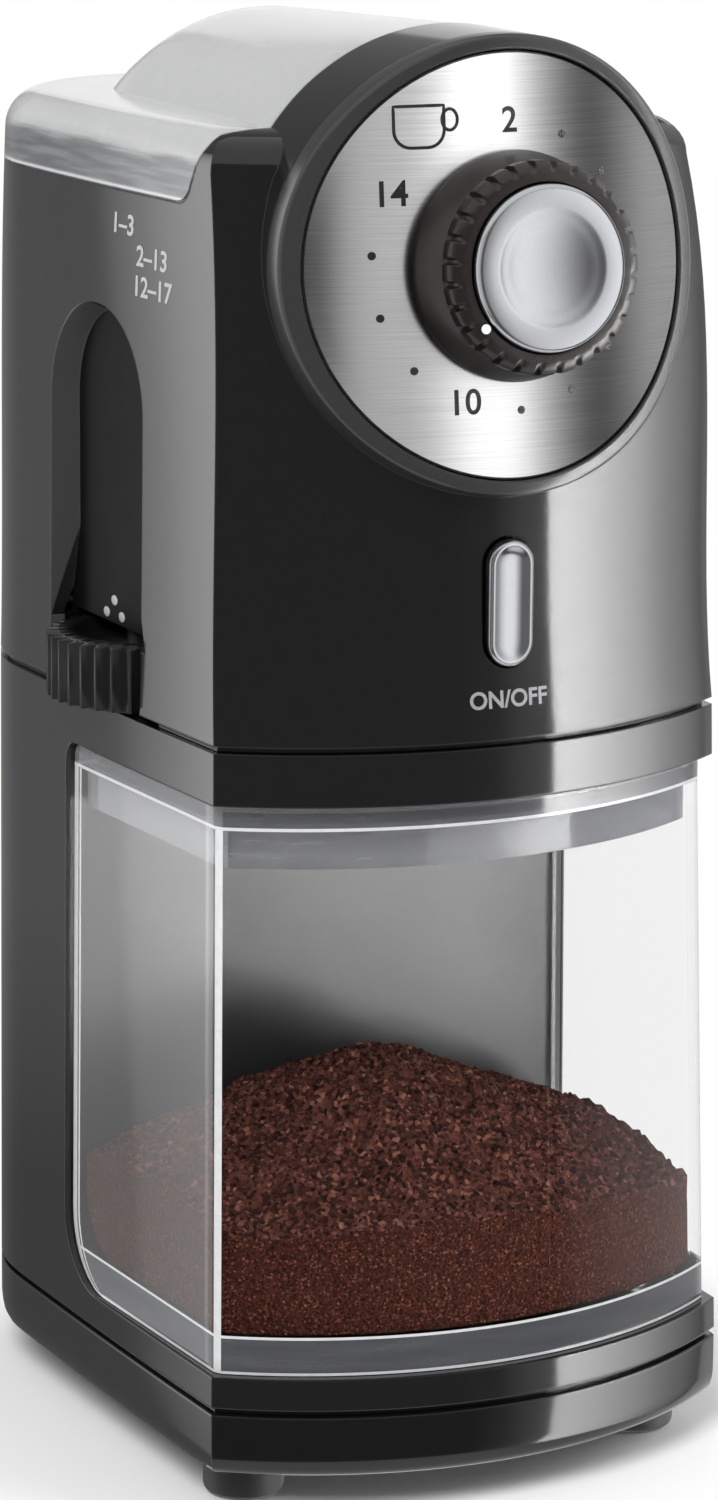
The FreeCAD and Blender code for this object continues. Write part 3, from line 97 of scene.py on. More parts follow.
# Finishes


def linear(code: str) -> tuple[float, float, float, float]:
    """Turns an sRGB hex colour to linear.

    Args:
        code: Six hex digits after a hash sign.

    Returns:
        Red, green, blue and an alpha of 1.
    """
    parts = [int(code[i:i + 2], 16) / 255 for i in (1, 3, 5)]
    red, green, blue = (part / 12.92 if part <= 0.04045 else ((part + 0.055) / 1.055) ** 2.4
                        for part in parts)
    return red, green, blue, 1.0


def add_node(tree: bpy.types.NodeTree, kind: str, links: dict | None = None, values: dict | None = None,
             **settings: object) -> bpy.types.Node:
    """Adds a node with its settings, socket values and links.

    Args:
        tree: The tree that gets the node.
        kind: The node's type, without its ShaderNode prefix.
        links: Input socket name or number to the output socket that feeds it.
        values: Input socket name or number to its value.
        **settings: Properties of the node.

    Returns:
        The new node.
    """
    node = tree.nodes.new(f"ShaderNode{kind}")
    for name, value in settings.items():
        setattr(node, name, value)
    for name, value in (values or {}).items():
        node.inputs[name].default_value = value
    for name, socket in (links or {}).items():
        tree.links.new(socket, node.inputs[name])
    return node


def stops(ramp: bpy.types.Node, *colours: tuple[float, tuple]) -> bpy.types.Node:
    """Sets a colour ramp's stops.

    Args:
        ramp: The ramp's node.
        *colours: Each stop's place, from 0 to 1, and its colour.

    Returns:
        The ramp's node.
    """
    elements = ramp.color_ramp.elements
    while len(elements) < len(colours):
        elements.new(0.5)
    for element, (place, colour) in zip(elements, colours):
        element.position = place
        element.color = colour
    return ramp


@dataclass(frozen=True)
class Finish:
    """A surface: a base colour with a mottle, a roughness that varies, and a fine relief.

    Sizes are in millimetres; a rounding is how far light catches on the edges.
    """

    name: str
    colour: str
    mottle: str
    roughness: float
    roughness_spread: float = 0.05
    metallic: float = 0.0
    ior: float = 1.5
    grain: float = 0.8
    relief: float = 0.004
    rounding: float = 0.0
    stretch: tuple[float, float, float] = (1.0, 1.0, 1.0)
    coat: float = 0.0
    transmission: float = 0.0

    def shader(self, tree: bpy.types.NodeTree) -> bpy.types.Node:
        """Adds the surface's nodes to a material's tree.

        Args:
            tree: The material's empty tree.

        Returns:
            The principled shader.
        """
        place = add_node(tree, "TexCoord")
        scaled = add_node(tree, "Mapping", {"Vector": place.outputs["Object"]}, {"Scale": self.stretch})
        fine = add_node(tree, "TexNoise", {"Vector": scaled.outputs["Vector"]},
                        {"Scale": 1 / (self.grain * MM), "Detail": 3.0, "Roughness": 0.6})
        broad = add_node(tree, "TexNoise", {"Vector": scaled.outputs["Vector"]},
                         {"Scale": 1 / (self.grain * HAZE * MM), "Detail": 2.0})
        blend = add_node(tree, "MixRGB", {"Fac": fine.outputs["Fac"]},
                         {"Color1": linear(self.colour), "Color2": linear(self.mottle)})
        haze = add_node(tree, "MapRange", {"Value": broad.outputs["Fac"]},
                        {"To Min": self.roughness - self.roughness_spread,
                         "To Max": self.roughness + self.roughness_spread})
        bump = add_node(tree, "Bump", {"Height": fine.outputs["Fac"]},
                        {"Strength": 1.0, "Distance": self.relief * MM})
        if self.rounding:
            edge = add_node(tree, "Bevel", None, {"Radius": self.rounding * MM}, samples=6)
            tree.links.new(edge.outputs["Normal"], bump.inputs["Normal"])
        values = {"Metallic": self.metallic, "IOR": self.ior, "Coat Weight": self.coat,
                  "Transmission Weight": self.transmission}
        return add_node(tree, "BsdfPrincipled", {"Base Color": blend.outputs["Color"],
                                                 "Roughness": haze.outputs["Result"],
                                                 "Normal": bump.outputs["Normal"]}, values)

    def material(self) -> bpy.types.Material:
        """Makes the finish's material, or finds it if it is already made.

        Returns:
            The material.
        """
        found = bpy.data.materials.get(self.name)
        if found:
            return found
        made = bpy.data.materials.new(self.name)
        made.use_nodes = True
        tree = made.node_tree
        tree.nodes.clear()
        surface = self.shader(tree)
        add_node(tree, "OutputMaterial", {"Surface": surface.outputs[0]})
        return made


@dataclass(frozen=True)
class BrushedSheet(Finish):
    """Stainless sheet brushed across its width, so its highlights are drawn out upright.

    A line's width and run are in millimetres of the piece's UV layer.
    """

    line: float = 0.22
    run: float = 26.0

    def shader(self, tree: bpy.types.NodeTree) -> bpy.types.Node:
        """Adds the brushed surface's nodes to a material's tree.

        Args:
            tree: The material's empty tree.

        Returns:
            The principled shader.
        """
        place = add_node(tree, "UVMap", uv_map="sheet")
        drawn = add_node(tree, "Mapping", {"Vector": place.outputs["UV"]},
                         {"Scale": (1 / self.run, 1 / self.line, 1.0)})
        lines = add_node(tree, "TexNoise", {"Vector": drawn.outputs["Vector"]},
                         {"Scale": 1.0, "Detail": 4.0, "Roughness": 0.65})
        tone = stops(add_node(tree, "ValToRGB", {"Fac": lines.outputs["Fac"]}),
                     (0.3, linear(self.mottle)), (0.7, linear(self.colour)))
        haze = add_node(tree, "MapRange", {"Value": lines.outputs["Fac"]},
                        {"To Min": self.roughness - self.roughness_spread,
                         "To Max": self.roughness + self.roughness_spread})
        bump = add_node(tree, "Bump", {"Height": lines.outputs["Fac"]},
                        {"Strength": 0.6, "Distance": self.relief * MM})
        along = add_node(tree, "Tangent", direction_type="UV_MAP", uv_map="sheet")
        return add_node(tree, "BsdfPrincipled", {"Base Color": tone.outputs["Color"],
                                                 "Roughness": haze.outputs["Result"],
                                                 "Normal": bump.outputs["Normal"],
                                                 "Tangent": along.outputs["Tangent"]},
                        {"Metallic": 1.0, "Anisotropic": 0.75, "Anisotropic Rotation": 0.25})


@dataclass(frozen=True)
class Grounds(Finish):
    """Ground coffee: loose crumbs with pale chaff on the heap, and a redder face pressed on the plastic.

    Dust is the size of pressed grains beside loose ones. A face is pressed where its normal's Z is below
    steep, and loose where it is over gentle.
    """

    loose: tuple[str, ...] = ("#0e0504", "#24110e", "#3e231d", "#664539")
    pressed: tuple[str, ...] = ("#140705", "#27100b", "#361a13", "#664232")
    places: tuple[float, ...] = (0.05, 0.4, 0.75, 1.0)
    dust: float = 0.45
    steep: float = 0.15
    gentle: float = 0.4
    gloss: float = 0.06

    def shader(self, tree: bpy.types.NodeTree) -> bpy.types.Node:
        """Adds the coffee's nodes to a material's tree.

        Args:
            tree: The material's empty tree.

        Returns:
            The principled shader.
        """
        place = add_node(tree, "TexCoord")
        crumbs = add_node(tree, "TexVoronoi", {"Vector": place.outputs["Object"]},
                          {"Scale": 1 / (self.grain * MM)})
        dust = add_node(tree, "TexVoronoi", {"Vector": place.outputs["Object"]},
                        {"Scale": 1 / (self.grain * self.dust * MM)})
        heaped = self.ramp(tree, crumbs, self.loose)
        packed = self.ramp(tree, dust, self.pressed)
        face = add_node(tree, "NewGeometry")
        parts = add_node(tree, "SeparateXYZ", {"Vector": face.outputs["Normal"]})
        upward = add_node(tree, "MapRange", {"Value": parts.outputs["Z"]},
                          {"From Min": self.steep, "From Max": self.gentle})
        tone = add_node(tree, "MixRGB", {"Fac": upward.outputs["Result"], "Color1": packed.outputs["Color"],
                                         "Color2": heaped.outputs["Color"]})
        bump = add_node(tree, "Bump", {"Height": crumbs.outputs["Distance"]},
                        {"Strength": 1.0, "Distance": self.relief * MM}, invert=True)
        return add_node(tree, "BsdfPrincipled", {"Base Color": tone.outputs["Color"],
                                                 "Normal": bump.outputs["Normal"]},
                        {"Roughness": self.roughness, "Specular IOR Level": self.gloss})

    def ramp(self, tree: bpy.types.NodeTree, cells: bpy.types.Node, tones: tuple[str, ...]) -> bpy.types.Node:
        """Gives each cell one of the tones, dark ones most often.

        Args:
            tree: The material's tree.
            cells: The node whose cells have random colours.
            tones: Hex colours, darkest first.

        Returns:
            The ramp's node.
        """
        spread = zip(self.places, tones)
        return stops(add_node(tree, "ValToRGB", {"Fac": cells.outputs["Color"]}),
                     *((spot, linear(tone)) for spot, tone in spread))


@dataclass(frozen=True)
class MilkyCover(Finish):
    """Milky plastic whose skirt, below a height, is painted grey with streaks as painted shade and
    reflections, over a painted highlight along its bottom edge.
    """

    # The skirt's grey and the streak colour are painted shade and reflections; the edge colour is a painted
    # highlight.
    skirt: str = "#77787c"
    painted_streak: str = "#96979a"
    edge: str = "#dfe0e1"
    painted_highlight_z: float = 227.9
    skirt_z: float = 233.6
    wander: float = 1.2
    fade: float = 1.4
    drawn: tuple[float, float, float] = (60.0, 60.0, 900.0)

    def shader(self, tree: bpy.types.NodeTree) -> bpy.types.Node:
        """Adds the milky surface, with its base colour drawn by height: painted shade and streaks in the
        skirt, and a painted highlight at its foot.

        Args:
            tree: The material's empty tree.

        Returns:
            The principled shader.
        """
        surface = super().shader(tree)
        milk = surface.inputs["Base Color"].links[0].from_socket
        place = add_node(tree, "TexCoord")
        spot = add_node(tree, "SeparateXYZ", {"Vector": place.outputs["Object"]})
        drawn = add_node(tree, "Mapping", {"Vector": place.outputs["Object"]}, {"Scale": self.drawn})
        painted_streaks = add_node(tree, "TexNoise", {"Vector": drawn.outputs["Vector"]},
                           {"Scale": 1.0, "Detail": 3.0})
        # The skirt's grey with streaks is painted shade and painted reflection.
        painted_skirt_shade = stops(add_node(tree, "ValToRGB", {"Fac": painted_streaks.outputs["Fac"]}),
                      (0.42, linear(self.skirt)), (0.62, linear(self.painted_streak)))
        shift = add_node(tree, "MapRange", {"Value": painted_streaks.outputs["Fac"]},
                         {"To Min": -self.wander * MM, "To Max": self.wander * MM})
        height = add_node(tree, "Math", {0: spot.outputs["Z"], 1: shift.outputs["Result"]}, operation="ADD")
        over = add_node(tree, "MapRange", {"Value": height.outputs[0]},
                        {"From Min": self.skirt_z * MM, "From Max": (self.skirt_z + self.fade) * MM})
        body = add_node(tree, "MixRGB", {"Fac": over.outputs["Result"], "Color1": painted_skirt_shade.outputs["Color"],
                                         "Color2": milk})
        # Below its height, the foot of the skirt gets a painted highlight.
        foot = add_node(tree, "Math", {0: spot.outputs["Z"]}, {1: self.painted_highlight_z * MM}, operation="LESS_THAN")
        tone = add_node(tree, "MixRGB", {"Fac": foot.outputs[0], "Color1": body.outputs["Color"]},
                        {"Color2": linear(self.edge)})
        tree.links.new(tone.outputs["Color"], surface.inputs["Base Color"])
        return surface


# ABS moulded in a polished tool: deep black with a faint ripple, so reflections stay sharp.
GLOSS_BLACK = Finish("gloss_black_abs", "#0c0c0d", "#111112", 0.09, 0.02, grain=1.6, relief=0.0012,
                     rounding=0.45)
# The same plastic, in the ring round the dial, which is a little greyer.
BEZEL_BLACK = Finish("bezel_black_abs", "#29292a", "#303031", 0.22, 0.03, grain=1.2, relief=0.0015,
                     rounding=0.25)
# The floor of the side groove and its slopes, left matt by the tool, and the satin wall behind the container.
# The slopes' grey, lighter than the housing's black, is a painted highlight, which the scallop over the wheel
# shares.
GROOVE_BLACK = Finish("matt_groove_abs", "#0b0b0c", "#101011", 0.5, 0.05, ior=1.15, grain=0.4, relief=0.003)
SLOPE_PAINTED_HIGHLIGHT = Finish("slope_abs_painted_highlight", "#333334", "#3c3c3d", 0.45, 0.05, ior=1.35, grain=0.4, relief=0.003,
                     rounding=0.5)
BAY_BLACK = Finish("satin_bay_abs", "#0d0d0e", "#121213", 0.34, 0.03, ior=1.7, grain=1.0, relief=0.002)
# Satin moulding with a brown cast, as a soft-touch knob has.
KNOB_BLACK = Finish("satin_black_moulding", "#161110", "#1e1715", 0.3, 0.06, grain=0.5, relief=0.004,
                    rounding=0.3)
# Nylon, a little duller, for the thumb wheel.
WHEEL_BLACK = Finish("satin_black_nylon", "#0e0e0f", "#141415", 0.36, 0.06, ior=1.4, grain=0.5, relief=0.004,
                     rounding=0.25)
# Plastic with a silver lacquer, which keeps the soft sheen of aluminium.
SATIN_SILVER = Finish("satin_silver_lacquer", "#c4c5c8", "#b4b5b8", 0.24, 0.03, metallic=1.0, grain=0.25,
                      relief=0.0012, rounding=0.25)
DIAL_STEEL = BrushedSheet("brushed_dial_steel", "#dcdcdc", "#bdbdbd", 0.3, 0.06, relief=0.0022)
# Styrene acrylonitrile: water clear. A thin pane hardly moves what is behind it, so the panes bend no light,
# and the gloss of their outer faces is a coat.
CLEAR_SAN = Finish("clear_san", "#ffffff", "#fdfdfd", 0.02, 0.01, grain=3.0, relief=0.0002, transmission=1.0,
                   ior=1.02, coat=1.0)
CLEAR_INSIDE = Finish("clear_san_inside", "#ffffff", "#fdfdfd", 0.02, 0.01, grain=3.0, relief=0.0002,
                      transmission=1.0, ior=1.02)
# Its thick foot, rear corners and lid, painted grey with streaks along the moulding as painted reflections
# and refraction; on the lid's front the darker grey is painted shade.
PAINTED_DARK_STREAKS = Finish("clear_san_painted_dark_streaks", "#7b7c80", "#55565a", 0.1, 0.04, grain=5.0, relief=0.0008,
                    transmission=0.5, ior=1.49, stretch=(0.25, 0.25, 2.5))
PAINTED_PALE_STREAKS = Finish("clear_san_painted_pale_streaks", "#b4b5b8", "#85868a", 0.1, 0.04, grain=5.0, relief=0.0008,
                    transmission=0.65, ior=1.49, stretch=(0.25, 0.25, 1.5))
# Its rounded rims, painted near white as a painted highlight where they catch the studio's white.
PAINTED_RIM_HIGHLIGHT = Finish("clear_san_painted_rim_highlight", "#f1f2f3", "#d3d4d6", 0.16, 0.05, grain=2.0, relief=0.003,
                   transmission=0.25, ior=1.49)
# Milky polystyrene, which passes light and scatters it. The lid's skirt has painted shade and streaks, and a
# painted highlight at its foot.
MILKY_LID = MilkyCover("milky_lid_painted_shade_and_highlight", "#dcdddc", "#d2d3d2", 0.14, 0.05, grain=2.0, relief=0.002,
                       transmission=0.6, ior=1.45)
HOPPER_CLEAR = Finish("milky_hopper_plastic", "#c9cbcd", "#bdbfc1", 0.24, 0.05, grain=2.0, relief=0.002,
                      transmission=0.4, ior=1.45)
RUBBER = Finish("moulded_rubber", "#111111", "#1a1a1a", 0.62, 0.08, grain=0.35, relief=0.012, rounding=0.3)
COFFEE = Grounds("ground_coffee", "#36201b", "#55382f", 0.85, grain=0.8, relief=0.45)
WHITE_PAINT = Finish("white_pad_print", "#f2f2ef", "#e6e6e2", 0.45, 0.05, grain=0.2, relief=0.002)
BLACK_INK = Finish("black_screen_ink", "#191919", "#202020", 0.5, 0.05, grain=0.15, relief=0.002)
GREY_INK = Finish("grey_pad_print", "#b3b4b6", "#a6a7a9", 0.45, 0.05, grain=0.15, relief=0.002)
SWITCH_INK = Finish("dim_pad_print", "#8b8c8e", "#828385", 0.45, 0.05, grain=0.15, relief=0.002)
GREY_MOULDING = Finish("grey_glass_filled_nylon", "#3a3b3d", "#454648", 0.5, 0.08, grain=0.4, relief=0.008,
                       rounding=0.2)
ZINC = Finish("zinc_plated_steel", "#a9acae", "#95999b", 0.34, 0.06, metallic=1.0, grain=0.5, relief=0.003,
              rounding=0.15)
TURNED_STEEL = Finish("turned_steel", "#b7b8ba", "#a3a4a6", 0.28, 0.05, metallic=1.0, grain=0.3, relief=0.003,
                      stretch=(1.0, 1.0, 6.0))
BURR_STEEL = Finish("hardened_burr_steel", "#8e9092", "#7b7d80", 0.36, 0.06, metallic=1.0, grain=0.3,
                    relief=0.004, rounding=0.1)
LAMINATE = Finish("green_board_laminate", "#12472a", "#0d3a21", 0.38, 0.05, grain=0.6, relief=0.003)
FERRITE = Finish("ferrite_and_laminations", "#2d2e31", "#38393c", 0.55, 0.08, metallic=0.5, grain=0.4,
                 relief=0.006, stretch=(1.0, 1.0, 4.0))
CARBON = Finish("brush_carbon", "#161616", "#202020", 0.6, 0.08, grain=0.3, relief=0.006)

INNER_FINISHES = {
    GREY_MOULDING: ("timer_control", "start_switch", "adjusting_ring", "grinding_chamber", "grounds_chute",
                    "upper_burr_carrier", "lower_burr_carrier", "motor_end_cap"),
    ZINC: ("base_screws", "board_screws", "motor_screws", "motor_can", "motor_mount"),
    TURNED_STEEL: ("timer_stem", "wheel_pin", "motor_shaft", "lower_bearing", "upper_bearing"),
    BURR_STEEL: ("lower_burr", "upper_burr", "burr_nut"),
    LAMINATE: ("control_board",),
    FERRITE: ("motor_magnets", "armature"),
    CARBON: ("motor_brushes",),
    RUBBER: ("shaft_seal",),
    WHITE_PAINT: ("knob_pointer",),
}


# Modelling


def deselect() -> None:
    """Leaves edit mode and deselects everything."""
    if bpy.context.object and bpy.context.object.mode != "OBJECT":
        bpy.ops.object.mode_set(mode="OBJECT")
    bpy.ops.object.select_all(action="DESELECT")


def activate(piece: bpy.types.Object) -> None:
    """Selects one piece alone and makes it active.

    Args:
        piece: The piece.
    """
    deselect()
    piece.select_set(True)
    bpy.context.view_layer.objects.active = piece


def loft(name: str, rings: list[Ring], hollow: bool = False) -> bpy.types.Object:
    """Extrudes a face, or a bare loop of edges, from ring to ring.

    Args:
        name: The piece's name.
        rings: Loops of as many points each, in millimetres.
        hollow: Whether the rings go round a tube whose last ring meets the first, with no end faces.

    Returns:
        The closed piece.
    """
    deselect()
    bpy.ops.mesh.primitive_circle_add(vertices=len(rings[0]), fill_type="NOTHING" if hollow else "NGON")
    piece = bpy.context.object
    piece.name = name
    bpy.ops.object.mode_set(mode="EDIT")
    mesh = bmesh.from_edit_mesh(piece.data)
    mesh.verts.ensure_lookup_table()
    order = {tuple(vertex.co): index for index, vertex in enumerate(mesh.verts)}
    for step, ring in enumerate(rings + rings[:1] if hollow else rings):
        if step:
            bpy.ops.mesh.extrude_region_move()
            mesh = bmesh.from_edit_mesh(piece.data)
        moved = {}
        for vertex in mesh.verts:
            if vertex.select:
                index = order[tuple(vertex.co)]
                vertex.co = Vector(ring[index]) * MM
                moved[tuple(vertex.co)] = index
        order = moved
    bpy.ops.mesh.select_all(action="SELECT")
    bpy.ops.mesh.remove_doubles(threshold=1e-7)
    bpy.ops.mesh.normals_make_consistent(inside=False)
    bpy.ops.object.mode_set(mode="OBJECT")
    return piece


def carve(piece: bpy.types.Object, tool: bpy.types.Object, kind: Cut = Cut.TAKE) -> bpy.types.Object:
    """Cuts a piece by a tool, or joins them, and removes the tool.

    Args:
        piece: The piece to change.
        tool: The closed tool.
        kind: What becomes of the piece.

    Returns:
        The piece.
    """
    modifier = piece.modifiers.new("carve", "BOOLEAN")
    modifier.operation = kind.value
    modifier.solver = "EXACT"
    modifier.object = tool
    activate(piece)
    bpy.ops.object.modifier_apply(modifier="carve")
    bpy.data.objects.remove(tool)
    return piece


def join(pieces: list[bpy.types.Object]) -> bpy.types.Object:
    """Joins separate shells to the first of them.

    Args:
        pieces: The shells.

    Returns:
        The first, which holds them all.
    """
    activate(pieces[0])
    for piece in pieces[1:]:
        piece.select_set(True)
    bpy.ops.object.join()
    return pieces[0]


def across(name: str, profile: list[Spot], half: float = 90.0) -> bpy.types.Object:
    """Lofts a profile of Y and Z across the width."""
    return loft(name, [[(x, y, z) for y, z in profile] for x in (-half, half)])


def block(name: str, low: Point, high: Point) -> bpy.types.Object:
    """Lofts a box between two corners.

    Args:
        name: The piece's name.
        low: Its lowest corner.
        high: Its highest corner.

    Returns:
        The box.
    """
    plan = ((low[0], low[1]), (high[0], low[1]), (high[0], high[1]), (low[0], high[1]))
    return loft(name, [[(x, y, z) for x, y in plan] for z in (low[2], high[2])])


def circle(radius: float, z: float, count: int, x: float = 0.0, y: float = 0.0) -> Ring:
    """A level ring of points.

    Args:
        radius: Its radius.
        z: Its height.
        count: How many points.
        x: Its middle's X.
        y: Its middle's Y.

    Returns:
        The points.
    """
    turns = [2 * math.pi * i / count for i in range(count)]
    return [(x + radius * math.cos(turn), y + radius * math.sin(turn), z) for turn in turns]


def arc(start: Spot, stop: Spot, radius: float, count: int) -> list[Spot]:
    """Points along an arc that bows to the right of its chord, or a line where the radius is 0.

    Args:
        start: The first point.
        stop: The end, which isn't among the points.
        radius: The arc's radius.
        count: How many points.

    Returns:
        The points in order.
    """
    chord = Vector(stop) - Vector(start)
    if not radius:
        return [tuple(Vector(start) + chord * i / count) for i in range(count)]
    inward = Vector((-chord.y, chord.x)).normalized()
    depth = math.sqrt(max(radius ** 2 - chord.length ** 2 / 4, 0.0))
    centre = (Vector(start) + Vector(stop)) / 2 + inward * depth
    first = Vector(start) - centre
    sweep = 2 * math.asin(min(chord.length / (2 * radius), 1.0))
    points = []
    for i in range(count):
        turn = Matrix.Rotation(sweep * i / count, 2)
        points.append(tuple(centre + turn @ first))
    return points


def loop(corners: list[Point], counts: list[int]) -> list[Spot]:
    """Points round a closed loop.

    Args:
        corners: X, Y and the radius of the arc to the next corner, 0 for a line, counter-clockwise.
        counts: How many points each edge gets.

    Returns:
        The points in order.
    """
    points = []
    for corner, following, count in zip(corners, corners[1:] + corners[:1], counts):
        points += arc(corner[:2], following[:2], corner[2], count)
    return points


def round_box(half: float, front: float, rear: float, radius: float) -> list[Spot]:
    """Points round a rectangle across the width with round corners.

    Args:
        half: Half its width.
        front: The Y of its front.
        rear: The Y of its back.
        radius: The corners' radius.

    Returns:
        The points in order.
    """
    inner = half - radius
    corners = [
        (-inner, front, 0.0), (inner, front, radius),
        (half, front + radius, 0.0), (half, rear - radius, radius),
        (inner, rear, 0.0), (-inner, rear, radius),
        (-half, rear - radius, 0.0), (-half, front + radius, radius),
    ]
    return loop(corners, [10, 14] * 4)


def stadium(half: float, tall: float) -> list[Spot]:
    """Points round an upright slot with round ends, about its middle.

    Args:
        half: Half its width.
        tall: Half its height.

    Returns:
        The points in order.
    """
    run = tall - half
    corners = [(half, -run, 0.0), (half, run, half), (0.0, tall, half), (-half, run, 0.0),
               (-half, -run, half), (0.0, -tall, half)]
    return loop(corners, [6, 10, 10, 6, 10, 10])


def dress(piece: bpy.types.Object, finish: Finish, body: Body, node: str = "",
          angle: float = 30.0) -> bpy.types.Object:
    """Shades a piece, gives it its finish and sets it on its body. A clear piece casts no shadow.

    Args:
        piece: The finished mesh.
        finish: Its surface.
        body: The body that it rides on.
        node: The CAD node that it stands for, if any.
        angle: The sharpest edge that is shaded smooth, in degrees.

    Returns:
        The piece.
    """
    activate(piece)
    bpy.ops.object.shade_smooth_by_angle(angle=math.radians(angle))
    piece.data.materials.clear()
    piece.data.materials.append(finish.material())
    piece.visible_shadow = not finish.transmission
    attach(piece, body.value)
    if node:
        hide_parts(node)
    log.info("%s rides on %s", piece.name, body.value)
    return piece


def accent(piece: bpy.types.Object, finish: Finish, chosen: Callable[[Vector, Vector], bool]) -> None:
    """Gives some faces of a dressed piece a second finish.

    Args:
        piece: The dressed piece.
        finish: The second finish.
        chosen: Tells from a face's middle, in millimetres, and its normal whether it takes the finish.
    """
    piece.data.materials.append(finish.material())
    index = len(piece.data.materials) - 1
    for face in piece.data.polygons:
        if chosen(face.center / MM, face.normal):
            face.material_index = index


# Shapes that several classes share


@dataclass(frozen=True)
class Level:
    """The housing's plan at a height: half width and Y of the front corners, and half width of the sides."""

    z: float
    half: float
    front: float
    side: float


@dataclass(frozen=True)
class HousingForm:
    """The tapered form of the housing, bowed at the front and round at the back."""

    base: Level = Level(19.9, 50.4, -46.0, 51.8)
    seam: Level = Level(136.8, 48.7, -43.0, 50.9)
    waist: Level = Level(186.0, 47.6, -41.2, 50.3)
    brow: Level = Level(217.0, 46.7, -38.9, 49.8)
    crest: Level = Level(232.7, 45.7, -35.2, 49.2)
    shoulder: float = 239.7
    front_radius: float = 83.1
    rear: float = 76.0
    rear_radius: float = 38.0
    wall: float = 2.5

    def plan(self, level: Level, inset: float = 0.0) -> list[Spot]:
        """Points round the plan at a level.

        Args:
            level: The plan's sizes.
            inset: How far it is moved in from the outer face.

        Returns:
            The points in order.
        """
        half, side, front = level.half - inset, level.side - inset, level.front + inset
        turn_y = self.rear - self.rear_radius
        flat, corner = level.side - self.rear_radius, self.rear_radius - inset
        swell = level.side - level.half
        bow = (swell ** 2 + (turn_y - front) ** 2) / (2 * swell)
        corners = [
            (-half, front, self.front_radius - inset), (half, front, bow), (side, turn_y, corner),
            (flat, self.rear - inset, 0.0), (-flat, self.rear - inset, corner), (-side, turn_y, bow),
        ]
        return loop(corners, [48, 22, 22, 6, 22, 22])

    def ring(self, level: Level, z: float, inset: float = 0.0) -> Ring:
        """The plan at a level as a ring at a height."""
        return [(x, y, z) for x, y in self.plan(level, inset)]

    def upper_level(self, z: float) -> Level:
        """The plan's sizes at a height of the upper storey, on a cubic through its four levels.

        Args:
            z: The height.

        Returns:
            The sizes there.
        """
        known = (self.seam, self.waist, self.brow, self.crest)
        weights = []
        for one in known:
            weights.append(math.prod((z - other.z) / (one.z - other.z)
                                     for other in known if other is not one))
        sums = [sum(weight * getattr(one, name) for weight, one in zip(weights, known))
                for name in ("half", "front", "side")]
        return Level(z, *sums)

    def lower_level(self, z: float) -> Level:
        """The plan's sizes at a height of the lower storey.

        Args:
            z: The height.

        Returns:
            The sizes there.
        """
        part = (z - self.base.z) / (self.seam.z - self.base.z)
        sums = [getattr(self.base, name) * (1 - part) + getattr(self.seam, name) * part
                for name in ("half", "front", "side")]
        return Level(z, *sums)

    def upper_rings(self, low: float, inset: float = 0.0) -> list[Ring]:
        """Rings up the walls of the upper storey and round its top edge.

        Args:
            low: The height where they start.
            inset: How far they are moved in from the outer face.

        Returns:
            The rings, lowest first.
        """
        top = self.crest.z - inset
        rings = [self.ring(self.upper_level(z), z, inset) for z in steps(low, top, 18)]
        radius = self.shoulder - self.crest.z
        for angle in range(10, 91, 10):
            turn = math.radians(angle)
            rings.append(self.ring(self.crest, top + radius * math.sin(turn),
                                   inset + radius * (1 - math.cos(turn))))
        return rings


def steps(start: float, stop: float, count: int) -> list[float]:
    """Evenly spaced values with both ends."""
    return [start + (stop - start) * i / count for i in range(count + 1)]


@dataclass(frozen=True)
class DialFrame:
    """The leaning plane of the dial, the upright cylinder that its plate is bowed to, and its drum."""

    y: float = -57.2
    z: float = 217.7
    tilt: float = 5.0
    curve: float = 90.0
    drum: float = 38.59
    flare: float = 0.092
    ring_back: float = 3.4

    def point(self, x: float, up: float, out: float) -> Point:
        """A place given from the dial's middle.

        Args:
            x: How far across.
            up: How far up the dial.
            out: How far out of it.

        Returns:
            The place in the frame.
        """
        lean = math.radians(self.tilt)
        return (x, self.y + up * math.sin(lean) - out * math.cos(lean),
                self.z + up * math.cos(lean) + out * math.sin(lean))

    def bow(self, x: float) -> float:
        """How far the plate's face lies behind its middle."""
        return math.sqrt(self.curve ** 2 - x ** 2) - self.curve

    def ring(self, radius: float, out: float, count: int, bowed: bool = False) -> Ring:
        """A ring about the dial's axis.

        Args:
            radius: Its radius.
            out: How far out of the dial it is.
            count: How many points.
            bowed: Whether it follows the bowed face.

        Returns:
            The ring's points.
        """
        points = []
        for i in range(count):
            turn = 2 * math.pi * i / count
            x, up = radius * math.sin(turn), radius * math.cos(turn)
            points.append(self.point(x, up, out + (self.bow(x) if bowed else 0.0)))
        return points

    def flared(self, radius: float, out: float, count: int) -> Ring:
        """A ring where the drum's flared side meets the bowed face.

        Args:
            radius: The drum's radius at the dial's middle plane.
            out: How far the face is moved out of the dial.
            count: How many points.

        Returns:
            The ring's points.
        """
        points = []
        for i in range(count):
            turn = 2 * math.pi * i / count
            reach = radius
            for _ in range(4):
                depth = -out - self.bow(reach * math.sin(turn))
                reach = radius + self.flare * depth
            points.append(self.point(reach * math.sin(turn), reach * math.cos(turn), -depth))
        return points


FORM = HousingForm()
DIAL = DialFrame()
BURR_Y = 37.5


